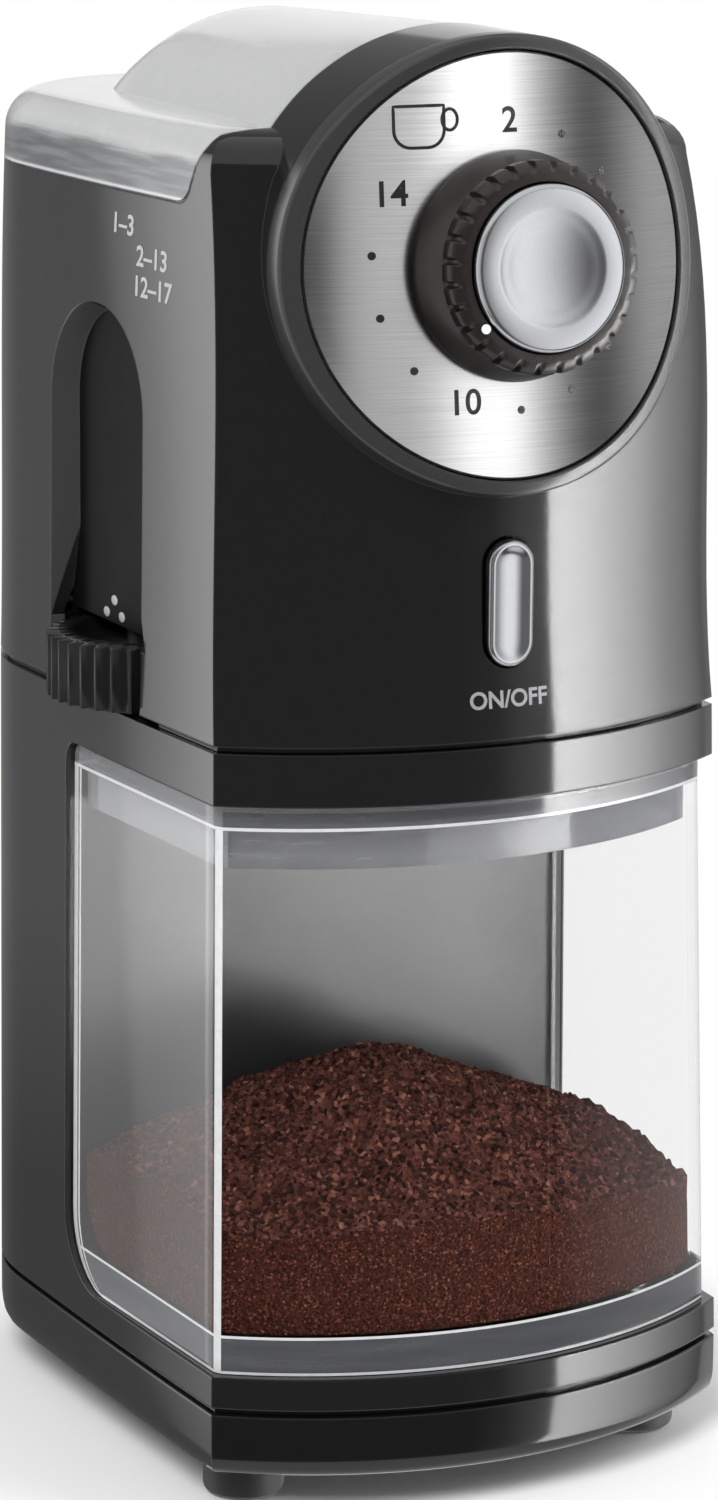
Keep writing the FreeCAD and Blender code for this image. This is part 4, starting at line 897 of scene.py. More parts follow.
@dataclass(frozen=True)
class LidZone:
    """The side view of the space over the rim that the lid fills."""

    front: float = -31.5
    rim: float = 227.0

    def profile(self, gap: float, wall: float = 0.0, deep: float = 0.0) -> list[Spot]:
        """Points round the zone's side view.

        Args:
            gap: How much closer it is than the room for the lid.
            wall: How much further in its front is.
            deep: How much deeper its foot is.

        Returns:
            Y and Z of the points.
        """
        front, foot = self.front + gap + wall, self.rim + gap
        corner = arc((front + 2.5, foot + 3.2), (front + 6.0, foot), 4.0, 6)
        foot_points = [(front + 6.0, foot)] + ([(front + 6.0, foot - deep)] if deep else [])
        return ([(90.0, 330.0), (front, 330.0), (front, self.rim + 10.0)] + corner + foot_points
                + [(90.0, foot - deep)])


ZONE = LidZone()


# Sub-assemblies


@dataclass
class Base:
    """The base plate and its rubber feet."""

    low: float = 7.5
    high: float = 18.7
    feet: tuple = ((-39.5, -36.0), (39.5, -36.0), (-33.0, 50.0), (33.0, 50.0))
    towers: tuple = ((-40.0, -22.0), (40.0, -22.0), (-36.0, 40.0), (36.0, 40.0))
    foot_radius: float = 7.2

    def plate(self) -> bpy.types.Object:
        """Models the pan with its rounded lower edge, its lip, vents and screw holes.

        Returns:
            The pan.
        """
        wall, level = FORM.wall, FORM.base
        sections = [(1.4, self.low), (0.75, self.low + 0.5), (0.35, self.low + 1.4), (0.1, self.low + 2.8),
                    (0.0, self.low + 4.2), (0.0, self.high - 0.25), (0.25, self.high), (wall / 2, self.high),
                    (wall / 2, FORM.base.z), (wall + 0.2, FORM.base.z), (wall + 0.2, FORM.base.z + wall),
                    (2 * wall, FORM.base.z + wall), (2 * wall, self.low + wall)]
        pan = loft("base_pan", [FORM.ring(level, z, inset) for inset, z in sections])
        holes = [block(f"vent_{i}", (7 * i - 1.5, BURR_Y - 14, 0), (7 * i + 1.5, BURR_Y + 14, 12))
                 for i in range(-2, 3)]
        holes += [loft(f"screw_hole_{i}", [circle(3.3, z, 24, x, y) for z in (0.0, 12.0)])
                  for i, (x, y) in enumerate(self.towers)]
        return carve(pan, join(holes))

    def rubber(self) -> bpy.types.Object:
        """Models the four feet in one piece.

        Returns:
            The feet.
        """
        wide, stalk = self.foot_radius, self.foot_radius / 2
        profile = [(1.5, 0.0), (5.4, 0.0), (6.3, 0.25), (6.95, 0.8), (wide, 1.6), (wide, self.low),
                   (stalk, self.low), (stalk, self.low + FORM.wall)]
        return join([loft(f"foot_{i}", [circle(radius, z, 40, x, y) for radius, z in profile])
                     for i, (x, y) in enumerate(self.feet)])

    def build(self) -> None:
        """Models and dresses the base."""
        dress(self.plate(), GLOSS_BLACK, Body.HOUSING, "base_plate")
        feet = self.rubber()
        feet.name = "feet"
        dress(feet, RUBBER, Body.HOUSING, "rubber_feet")


@dataclass
class LowerHousing:
    """The C-shaped lower storey."""

    high: float = 135.6
    bay_low: float = 25.5
    bay_high: float = 126.5
    bay_rear: float = 15.5
    bay_round: float = 14.0
    bay_lip: float = 4.0
    port_half: float = 12.2
    port_front: float = -24.2
    port_rear: float = -1.8

    def bay(self, name: str, grow: float) -> bpy.types.Object:
        """Models the bay's space.

        Args:
            name: The tool's name.
            grow: How much skin is grown round it.

        Returns:
            The tool.
        """
        low, high, rear = self.bay_low - grow, self.bay_high + grow, self.bay_rear + grow
        under, over = self.bay_round + grow, self.bay_lip + grow
        corners = [(-90.0, low, 0.0), (rear - under, low, under), (rear, low + under, 0.0),
                   (rear, high - over, over), (rear - over, high, 0.0), (-90.0, high, 0.0)]
        return across(name, loop(corners, [1, 16, 1, 8, 1, 1]))

    def build(self) -> None:
        """Models and dresses the storey: strip, spine and deck, with the lip under the upper storey."""
        wall, low = FORM.wall, FORM.base.z
        levels = steps(low, self.high, 10)
        shell = loft("lower_shell", [FORM.ring(FORM.lower_level(z), z) for z in levels])
        hollow = loft("lower_hollow", [FORM.ring(FORM.lower_level(z), z, wall)
                                       for z in steps(low - 1, self.high + 1, 4)])
        carve(hollow, self.bay("bay_skin", wall))
        carve(hollow, block("deck", (-90, -90, self.bay_high), (90, 90, self.bay_high + wall)))
        carve(shell, hollow)
        carve(shell, self.bay("bay", 0.0))
        carve(shell, block("deck_port", (-self.port_half, self.port_front, 120),
                           (self.port_half, self.port_rear, 140)))
        top = FORM.seam.z
        lip = [(wall / 2, self.high - 3), (wall / 2, top), (wall + 0.6, top), (wall + 0.6, top + wall),
               (2 * wall, top + wall), (2 * wall, self.high - 3)]
        rim = loft("rim", [FORM.ring(FORM.seam, z, inset) for inset, z in lip], hollow=True)
        carve(rim, loft("wheel_gap", [circle(25.6, z, 64, -38.0, 3.5) for z in (135.7, 145.0)]))
        storey = dress(join([shell, rim]), GLOSS_BLACK, Body.HOUSING, "lower_housing")
        accent(storey, BAY_BLACK, self.behind)

    def behind(self, spot: Vector, normal: Vector) -> bool:
        """Tells whether a face is on the bay's rear wall or the rounds at its top and foot.

        Args:
            spot: The face's middle in millimetres.
            normal: Its normal.

        Returns:
            Whether it is.
        """
        inside = self.bay_low - 0.1 < spot.z < self.bay_high + 0.1
        rear = self.bay_rear - self.bay_round < spot.y < self.bay_rear + 0.1
        return inside and rear and normal.y < -0.02


@dataclass
class UpperHousing:
    """The upper storey with its drum, side groove, wheel pocket, button slot and hopper shelf."""

    groove_y: float = 3.8
    groove_half: float = 18.9
    groove_draft: float = 1.12
    groove_floor_half: float = 17.0
    groove_top: float = 207.0
    groove_floor: float = -45.5
    wheel: tuple = (-38.0, 3.5)
    pocket: float = 21.0
    pocket_high: float = 149.1
    pocket_wall: float = 1.6
    scallop: tuple = ((22.9, 148.0), (18.4, 166.0))
    ring_room: float = 34.0
    button_z: float = 160.3
    button_room: Spot = (4.7, 11.4)
    touch: float = 0.1

    def drum(self, name: str, inset: float, front: float, back: float) -> bpy.types.Object:
        """Models the flared drum, whose front follows the dial's bow.

        Args:
            name: The tool's name.
            inset: How far it is moved in from the outer face.
            front: The front's depth behind the dial.
            back: The back's depth behind the dial.

        Returns:
            The tool.
        """
        rings = [DIAL.ring(DIAL.drum - inset + DIAL.flare * back, -back, 160),
                 DIAL.flared(DIAL.drum - inset, -front, 160)]
        return loft(name, rings)

    def groove(self, name: str, grow: float, floor: float) -> bpy.types.Object:
        """Models the drafted groove in the left side.

        Args:
            name: The tool's name.
            grow: How much wall is grown round it.
            floor: The X of its floor.

        Returns:
            The tool.
        """
        rings = []
        for x, half in ((-56.0, self.groove_half * self.groove_draft), (floor, self.groove_floor_half)):
            wide, spring, foot = half + grow, self.groove_top - self.groove_half, 132.0
            corners = [(self.groove_y - wide, foot, 0.0), (self.groove_y + wide, foot, 0.0),
                       (self.groove_y + wide, spring, wide), (self.groove_y, spring + wide, wide),
                       (self.groove_y - wide, spring, 0.0)]
            rings.append([(x, y, z) for y, z in loop(corners, [2, 8, 24, 24, 8])])
        return loft(name, rings)

    def well(self, name: str, grow: float) -> bpy.types.Object:
        """Models the wheel's round pocket, or its wall grown round it."""
        x, y = self.wheel
        return loft(name, [circle(self.pocket + grow, z, 96, x, y) for z in (135.7, self.pocket_high + grow)])

    def hollow(self) -> bpy.types.Object:
        """Models the space inside the walls.

        Returns:
            The tool.
        """
        wall = FORM.wall
        space = loft("upper_space", [FORM.ring(FORM.upper_level(z), z, wall)
                                     for z in steps(135.8, 224.5, 10)])
        carve(space, self.groove("groove_wall", wall, self.groove_floor + wall))
        carve(space, self.well("well_wall", self.pocket_wall))
        return space

    def build(self) -> None:
        """Models and dresses the storey."""
        shell = loft("upper_shell", FORM.upper_rings(FORM.seam.z))
        carve(shell, self.drum("drum", 0.0, DIAL.ring_back, 42.0), Cut.ADD)
        carve(shell, self.hollow())
        carve(shell, self.drum("drum_space", FORM.wall, DIAL.ring_back + FORM.wall, 22.0))
        carve(shell, across("lid_room", ZONE.profile(0.0)))
        carve(shell, loft("hopper_hole", [[(x, y, z) for x, y in round_box(42.3, -16.3, 69.3, 30.3)]
                                          for z in (220.0, 232.0)]))
        carve(shell, self.groove("groove", 0.0, self.groove_floor))
        carve(shell, self.well("well", 0.0))
        x, y = self.wheel
        scallop = loft("scallop", [circle(radius, z, 96, x, y) for radius, z in self.scallop])
        carve(scallop, block("scallop_side", (self.groove_floor, -40, 120), (0, 60, 190)))
        carve(shell, scallop)
        carve(shell, loft("ring_room", [circle(self.ring_room, z, 96, 0.0, BURR_Y) for z in (135.0, 154.0)]))
        slot = [[(a, depth, self.button_z + b) for a, b in stadium(*self.button_room)]
                for depth in (-66.0, -50.0)]
        carve(shell, loft("button_slot", slot))
        dress(shell, GLOSS_BLACK, Body.HOUSING, "upper_housing")
        accent(shell, GROOVE_BLACK, self.floored)
        # The groove's slopes and the scallop take a grey painted highlight.
        accent(shell, SLOPE_PAINTED_HIGHLIGHT, self.painted_slope_highlight)

    def floored(self, spot: Vector, normal: Vector) -> bool:
        """Tells whether a face is on the groove's floor."""
        return normal.x < -0.98 and abs(spot.x - self.groove_floor) < self.touch

    def painted_slope_highlight(self, spot: Vector, normal: Vector) -> bool:
        """Tells whether a face is on the groove's slope behind, or on the scallop over the wheel, which take
        a painted highlight.

        Args:
            spot: The face's middle in millimetres.
            normal: Its normal.

        Returns:
            Whether it is.
        """
        outer = spot.x < self.groove_floor + self.touch
        beside = abs(spot.y - self.groove_y) < self.groove_half * self.groove_draft
        over = self.pocket_high < spot.z < self.groove_top
        return outer and beside and over and normal.y < -0.2 and spot.y > self.groove_y


@dataclass
class Dial:
    """The bowed steel plate, the ring round it and what is printed on the plate."""

    radius: float = 35.75
    thick: float = 0.8
    hole: float = 5.0
    mark_x: float = -0.7
    mark_radius: float = 24.2
    mark_start: float = 1.6
    mark_step: float = 25.0
    cup_spot: tuple = (-16.2, 23.8)
    numbers: dict = field(default_factory=lambda: {0: "2", 8: "10", 12: "14"})
    count: int = 13
    points: int = 160
    type_size: float = 6.0
    dot_radius: float = 0.7
    line_half: float = 0.27
    ink_low: float = 0.005
    ink_high: float = 0.05

    def plate(self) -> bpy.types.Object:
        """Models the plate with a fine chamfer, and lays out its brushing.

        Returns:
            The plate.
        """
        face = [(radius, 0.0) for radius in steps(self.hole, self.radius - 0.3, 16)]
        rim = [(self.radius, -0.3), (self.radius, -self.thick), (self.hole, -self.thick)]
        rings = [DIAL.ring(radius, out, self.points, bowed=True) for radius, out in face + rim]
        plate = loft("steel_plate", rings, hollow=True)
        layer = plate.data.uv_layers.new(name="sheet")
        for corner in plate.data.loops:
            spot = plate.data.vertices[corner.vertex_index].co / MM
            layer.data[corner.index].uv = (spot.x, spot.z)
        return plate

    def bezel(self) -> bpy.types.Object:
        """Models the ring, which follows the plate's bow and has a soft outer edge.

        Returns:
            The ring.
        """
        back = -DIAL.ring_back
        inner = [(36.0, back), (36.0, -0.6), (36.06, 0.3), (36.35, 0.58)]
        outer = [(-0.85, 0.6), (-0.35, 0.42), (-0.08, 0.05), (0.0, -0.5), (0.0, back)]
        rings = [DIAL.ring(radius, out, self.points, bowed=True) for radius, out in inner]
        rings += [DIAL.flared(DIAL.drum + grow, out, self.points) for grow, out in outer]
        return loft("dial_ring", rings, hollow=True)

    def printed(self, name: str, text: str, x: float, up: float, size: float) -> bpy.types.Object:
        """Sets a number on the plate.

        Args:
            name: The piece's name.
            text: The number.
            x: Its middle, across.
            up: Its middle, upwards.
            size: The height of its type in millimetres.

        Returns:
            A thin mesh on the bowed face.
        """
        mesh = type_mesh(name, text, size)
        for vertex in mesh.data.vertices:
            across_mm, up_mm, lift = vertex.co / MM
            place = DIAL.point(across_mm + x, up_mm + up, DIAL.bow(across_mm + x) + 0.01 + lift)
            vertex.co = Vector(place) * MM
        return mesh

    def dot(self, name: str, x: float, up: float) -> bpy.types.Object:
        """Models one printed dot.

        Args:
            name: The piece's name.
            x: Its middle, across.
            up: Its middle, upwards.

        Returns:
            The dot.
        """
        rings = []
        for radius, lift in ((self.dot_radius, self.ink_low), (self.dot_radius, self.ink_high), (0.1, 0.06)):
            ring = []
            for i in range(20):
                turn = 2 * math.pi * i / 20
                a, b = x + radius * math.sin(turn), up + radius * math.cos(turn)
                ring.append(DIAL.point(a, b, DIAL.bow(a) + lift))
            rings.append(ring)
        return loft(name, rings)

    def cup(self) -> bpy.types.Object:
        """Models the outline of a cup with its handle, at the dial's off position.

        Returns:
            The outline.
        """
        x0, up0 = self.cup_spot
        bowl = loop([(-4.3, 3.4, 0.0), (-4.3, -0.6, 2.9), (-1.4, -3.5, 0.0), (1.4, -3.5, 2.9),
                     (4.3, -0.6, 0.0), (4.3, 3.4, 0.0)], [6, 8, 6, 8, 6, 12])
        ear = [(5.3 + 1.35 * math.cos(a), 1.0 + 1.75 * math.sin(a))
               for a in (2 * math.pi * i / 32 for i in range(32))]
        strokes = [self.stroke(f"cup_{i}", [(x + x0, up + up0) for x, up in path])
                   for i, path in enumerate((bowl, ear))]
        return join(strokes)

    def stroke(self, name: str, path: list[Spot]) -> bpy.types.Object:
        """Models a closed printed line of even width on the plate.

        Args:
            name: The piece's name.
            path: Places along the line's middle, across and up.

        Returns:
            The line.
        """
        rings = []
        for side, lift in ((-1, self.ink_low), (1, self.ink_low), (1, self.ink_high), (-1, self.ink_high)):
            ring = []
            for i, spot in enumerate(path):
                ahead = Vector(path[(i + 1) % len(path)]) - Vector(path[i - 1])
                out = Vector((ahead.y, -ahead.x)).normalized() * self.line_half * side
                a, b = spot[0] + out.x, spot[1] + out.y
                ring.append(DIAL.point(a, b, DIAL.bow(a) + lift))
            rings.append(ring)
        return loft(name, rings, hollow=True)

    def build(self) -> None:
        """Models and dresses the dial."""
        dress(self.plate(), DIAL_STEEL, Body.HOUSING, "dial_plate")
        dress(self.bezel(), BEZEL_BLACK, Body.HOUSING, "dial_bezel")
        marks = [self.cup()]
        for index in range(self.count):
            turn = math.radians(self.mark_start + index * self.mark_step)
            x, up = self.mark_x + self.mark_radius * math.sin(turn), self.mark_radius * math.cos(turn)
            if index in self.numbers:
                marks.append(self.printed(f"number_{index}", self.numbers[index], x, up, self.type_size))
            else:
                marks.append(self.dot(f"dot_{index}", x, up))
        ink = join(marks)
        ink.name = "dial_marks"
        dress(ink, BLACK_INK, Body.HOUSING)


def type_mesh(name: str, text: str, size: float) -> bpy.types.Object:
    """Sets plain type as a thin mesh, centred on the origin and facing +Z.

    Args:
        name: The piece's name.
        text: Numbers or a plain word.
        size: The type's size in millimetres.

    Returns:
        The mesh.
    """
    deselect()
    bpy.ops.object.text_add()
    piece = bpy.context.object
    piece.name = name
    piece.data.body = text
    piece.data.size = size * MM
    piece.data.align_x = "CENTER"
    piece.data.align_y = "CENTER"
    piece.data.extrude = 0.02 * MM
    piece.data.offset = 0.09 * MM
    bpy.ops.object.convert(target="MESH")
    return bpy.context.object


@dataclass
class Knob:
    """The cup knob and its silver cap."""

    ribs: int = 28
    skirt: float = 19.4
    grip: float = 16.9
    rib: float = 0.95
    cap: float = 14.0
    dish: float = 9.5
    sink: float = 1.8

    def grip_ring(self, radius: float, out: float, ribbed: float) -> Ring:
        """A ring of the grip, with soft pads standing out between narrow valleys.

        Args:
            radius: The radius in the valleys.
            out: The height over the dial.
            ribbed: How far the pads stand out.

        Returns:
            The ring's points.
        """
        count = self.ribs * 12
        points = []
        for i in range(count):
            turn = 2 * math.pi * i / count
            wave = math.cos(turn * self.ribs)
            pad = min(max((wave + 0.9) / 0.45, 0.0), 1.0)
            lift = ribbed * pad * pad * (3 - 2 * pad)
            points.append(DIAL.point((radius + lift) * math.sin(turn), (radius + lift) * math.cos(turn), out))
        return points

    def build(self) -> None:
        """Models and dresses the knob and its cap."""
        rib = self.rib
        sections = [(3.0, 0.5, 0), (18.9, 0.5, 0), (19.3, 0.7, 0), (self.skirt, 1.1, 0), (19.3, 1.8, 0),
                    (18.6, 4.2, 0), (17.7, 7.0, 0), (17.3, 7.8, 0), (17.0, 8.1, rib * 0.7),
                    (self.grip, 8.5, rib), (self.grip, 10.4, rib), (16.75, 11.1, rib * 0.95),
                    (16.4, 11.7, rib * 0.75), (16.05, 12.08, rib * 0.4), (15.75, 12.25, rib * 0.15),
                    (15.5, 12.3, 0), (14.35, 12.3, 0), (14.2, 12.1, 0), (14.2, 9.0, 0), (3.0, 9.0, 0)]
        grip = loft("ribbed_knob", [self.grip_ring(*section) for section in sections], hollow=True)
        dress(grip, KNOB_BLACK, Body.KNOB, "cup_knob", angle=40)
        top = 13.9
        face = [(13.9, 9.0), (self.cap, 9.2), (self.cap, top - 1.0), (13.85, top - 0.5), (13.5, top - 0.18),
                (13.0, top), (10.3, top), (9.9, top - 0.06), (self.dish, top - 0.25)]
        bow = (self.dish ** 2 + self.sink ** 2) / (2 * self.sink)
        for radius in (8.6, 7.4, 6.0, 4.5, 3.0, 1.5, 0.4):
            face.append((radius, top - self.sink - 0.1 + bow - math.sqrt(bow ** 2 - radius ** 2)))
        cap = loft("silver_cap", [DIAL.ring(radius, out, 128) for radius, out in [(2.0, 9.0)] + face])
        dress(cap, SATIN_SILVER, Body.KNOB, "knob_cap", angle=50)


@dataclass
class StartButton:
    """The long silver button and the words under it."""

    z: float = 160.3
    half: float = 4.3
    tall: float = 11.0
    face: float = -58.6
    words: tuple = (("ON/OFF", 143.6, 4.1),)

    def ring(self, grow: float, depth: float) -> Ring:
        """The button's outline, grown by a margin, at a depth."""
        return [(x, depth, self.z + up) for x, up in stadium(self.half + grow, self.tall + grow)]

    def cap(self) -> bpy.types.Object:
        """Models the button with a soft edge, a shallow dish and its flange behind the wall.

        Returns:
            The button.
        """
        front = self.face
        sections = [(-3.6, front + 0.92), (-2.6, front + 0.82), (-1.7, front + 0.5), (-1.1, front + 0.1),
                    (-0.85, front), (-0.6, front + 0.03), (-0.25, front + 0.25), (-0.05, front + 0.6),
                    (0.0, front + 1.1), (0.0, -51.8), (1.2, -51.8), (1.2, -49.8)]
        button = loft("long_button", [self.ring(grow, depth) for grow, depth in sections])
        stem = loft("button_stem", [[(x, y, self.z + up) for x, up, _ in circle(2.0, 0.0, 24)]
                                    for y in (-50.3, -48.4)])
        return join([button, stem])

    def build(self) -> None:
        """Models and dresses the button and its words."""
        dress(self.cap(), SATIN_SILVER, Body.BUTTON, "start_button", angle=50)
        for text, z, size in self.words:
            word = type_mesh("switch_words", text, size)
            for vertex in word.data.vertices:
                x, up, lift = vertex.co / MM
                level = FORM.upper_level(z + up)
                centre = level.front + math.sqrt(FORM.front_radius ** 2 - level.half ** 2)
                y = centre - math.sqrt(FORM.front_radius ** 2 - x ** 2) - 0.03 - lift
                vertex.co = Vector((x, y, z + up)) * MM
            dress(word, SWITCH_INK, Body.HOUSING)


@dataclass
class SideMarks:
    """The pale numbers on the left side and the three dots in the groove."""

    lines: tuple = (("1–3", -2.4, 221.2), ("2–13", -11.2, 216.4), ("12–17", -11.2, 211.2))
    size: float = 4.9
    wide: float = 1.18
    dots: tuple = ((5.6, 153.2), (9.0, 150.6), (2.4, 150.7))
    dot_form: tuple = ((0.9, -45.49), (0.9, -45.6), (0.7, -45.66), (0.2, -45.66))
    dot_wide: float = 1.4

    def side_x(self, y: float, z: float) -> float:
        """The left wall's X at a place.

        Args:
            y: The place's Y.
            z: Its height.

        Returns:
            The X.
        """
        level = FORM.upper_level(z)
        turn_y = FORM.rear - FORM.rear_radius
        swell = level.side - level.half
        bow = (swell ** 2 + (turn_y - level.front) ** 2) / (2 * swell)
        return -(level.side - bow + math.sqrt(bow ** 2 - (turn_y - y) ** 2))

    def build(self) -> None:
        """Models and dresses the marks."""
        pieces = []
        for index, (text, start, z) in enumerate(self.lines):
            line = type_mesh(f"side_numbers_{index}", text, self.size)
            left = min(vertex.co.x for vertex in line.data.vertices) / MM
            for vertex in line.data.vertices:
                run, up, lift = vertex.co / MM
                y = start - (run - left) * self.wide
                vertex.co = Vector((self.side_x(y, z + up) - 0.03 - lift, y, z + up)) * MM
            pieces.append(line)
        for index, (y, z) in enumerate(self.dots):
            rings = []
            for radius, x in self.dot_form:
                rings.append([(x, y + a * self.dot_wide, z + b) for a, b, _ in circle(radius, 0.0, 28)])
            pieces.append(loft(f"groove_dot_{index}", rings))
        marks = join(pieces)
        marks.name = "side_marks"
        dress(marks, GREY_INK, Body.HOUSING)


@dataclass
class Hopper:
    """The bean hopper and its clear lid."""

    half: float = 42.0
    front: float = -16.0
    rear: float = 69.0
    corner: float = 30.0
    flange: float = 3.0
    throat: float = 17.0
    throat_low: float = 157.0
    throat_high: float = 172.0
    wall: float = 2.0
    vault_z: float = 215.0
    vault: float = 41.1
    vault_end: float = 39.0
    vault_length: float = 70.0
    vault_round: float = 18.0
    vault_drop: float = 0.7

    def mouth(self, grow: float, z: float) -> Ring:
        """The hopper's plan at its mouth, grown by a margin, at a height."""
        plan = round_box(self.half + grow, self.front - grow, self.rear + grow, self.corner + grow)
        return [(x, y, z) for x, y in plan]

    def neck(self, radius: float, z: float) -> Ring:
        """A nearly round ring of the throat at a height."""
        plan = round_box(radius + 0.2, BURR_Y - radius - 0.2, BURR_Y + radius + 0.2, radius)
        return [(x, y, z) for x, y in plan]

    def funnel(self) -> bpy.types.Object:
        """Models the hopper: flange, sloping walls and throat.

        Returns:
            The hopper.
        """
        low, high, rim, flange = self.throat_low, self.throat_high, ZONE.rim, self.flange
        bore = self.throat + 2.0
        rings = [self.neck(15.0, low), self.neck(bore, high), self.mouth(-self.wall, rim + 1.8),
                 self.mouth(-1.4, rim + 2.4), self.mouth(flange - 0.4, rim + 2.4),
                 self.mouth(flange, rim + 2.0), self.mouth(flange, rim), self.mouth(0.0, rim),
                 self.neck(bore + 2.0, high), self.neck(bore, low)]
        return loft("bean_funnel", rings, hollow=True)

    def hump(self, name: str, inset: float) -> bpy.types.Object:
        """Models the barrel vault, which is rounded down at its back.

        Args:
            name: The tool's name.
            inset: How far it is moved in from the outer face.

        Returns:
            The tool.
        """
        rings = []
        for along in steps(inset, self.vault_length, 12):
            part = along / self.vault_length
            rings.append((along, self.vault + (self.vault_end - self.vault) * part - inset))
        reach = self.vault_round - inset
        for angle in range(6, 88, 6):
            turn = math.radians(angle)
            rings.append((self.vault_length + reach * math.sin(turn),
                          (self.vault_end - inset) * (1 - self.vault_drop * (1 - math.cos(turn)))))
        spots = []
        for along, radius in rings:
            spots.append([(x, ZONE.front + along, self.vault_z + z) for x, z, _ in circle(radius, 0.0, 160)])
        return loft(name, spots)

    def cover(self, name: str, inset: float, low: float) -> bpy.types.Object:
        """Models the lid's form: skirt, rounded shoulders and the vault."""
        return carve(loft(name, FORM.upper_rings(low, inset)), self.hump(f"{name}_vault", inset), Cut.ADD)

    def lid(self) -> bpy.types.Object:
        """Models the clear lid, open below.

        Returns:
            The lid.
        """
        gap, wall = 0.4, self.wall
        outer = self.cover("clear_lid", 0.0, 226.0)
        carve(outer, across("lid_space", ZONE.profile(gap)), Cut.KEEP)
        inner = self.cover("lid_inside", wall, 222.0)
        carve(inner, across("lid_inner_space", ZONE.profile(gap, wall, 5.0)), Cut.KEEP)
        return carve(outer, inner)

    def build(self) -> None:
        """Models and dresses the hopper and its lid."""
        dress(self.funnel(), HOPPER_CLEAR, Body.HOUSING, "bean_hopper", angle=40)
        # The lid's skirt is painted with shade and streaks, over a painted highlight at its foot.
        dress(self.lid(), MILKY_LID, Body.LID, "hopper_lid", angle=35)


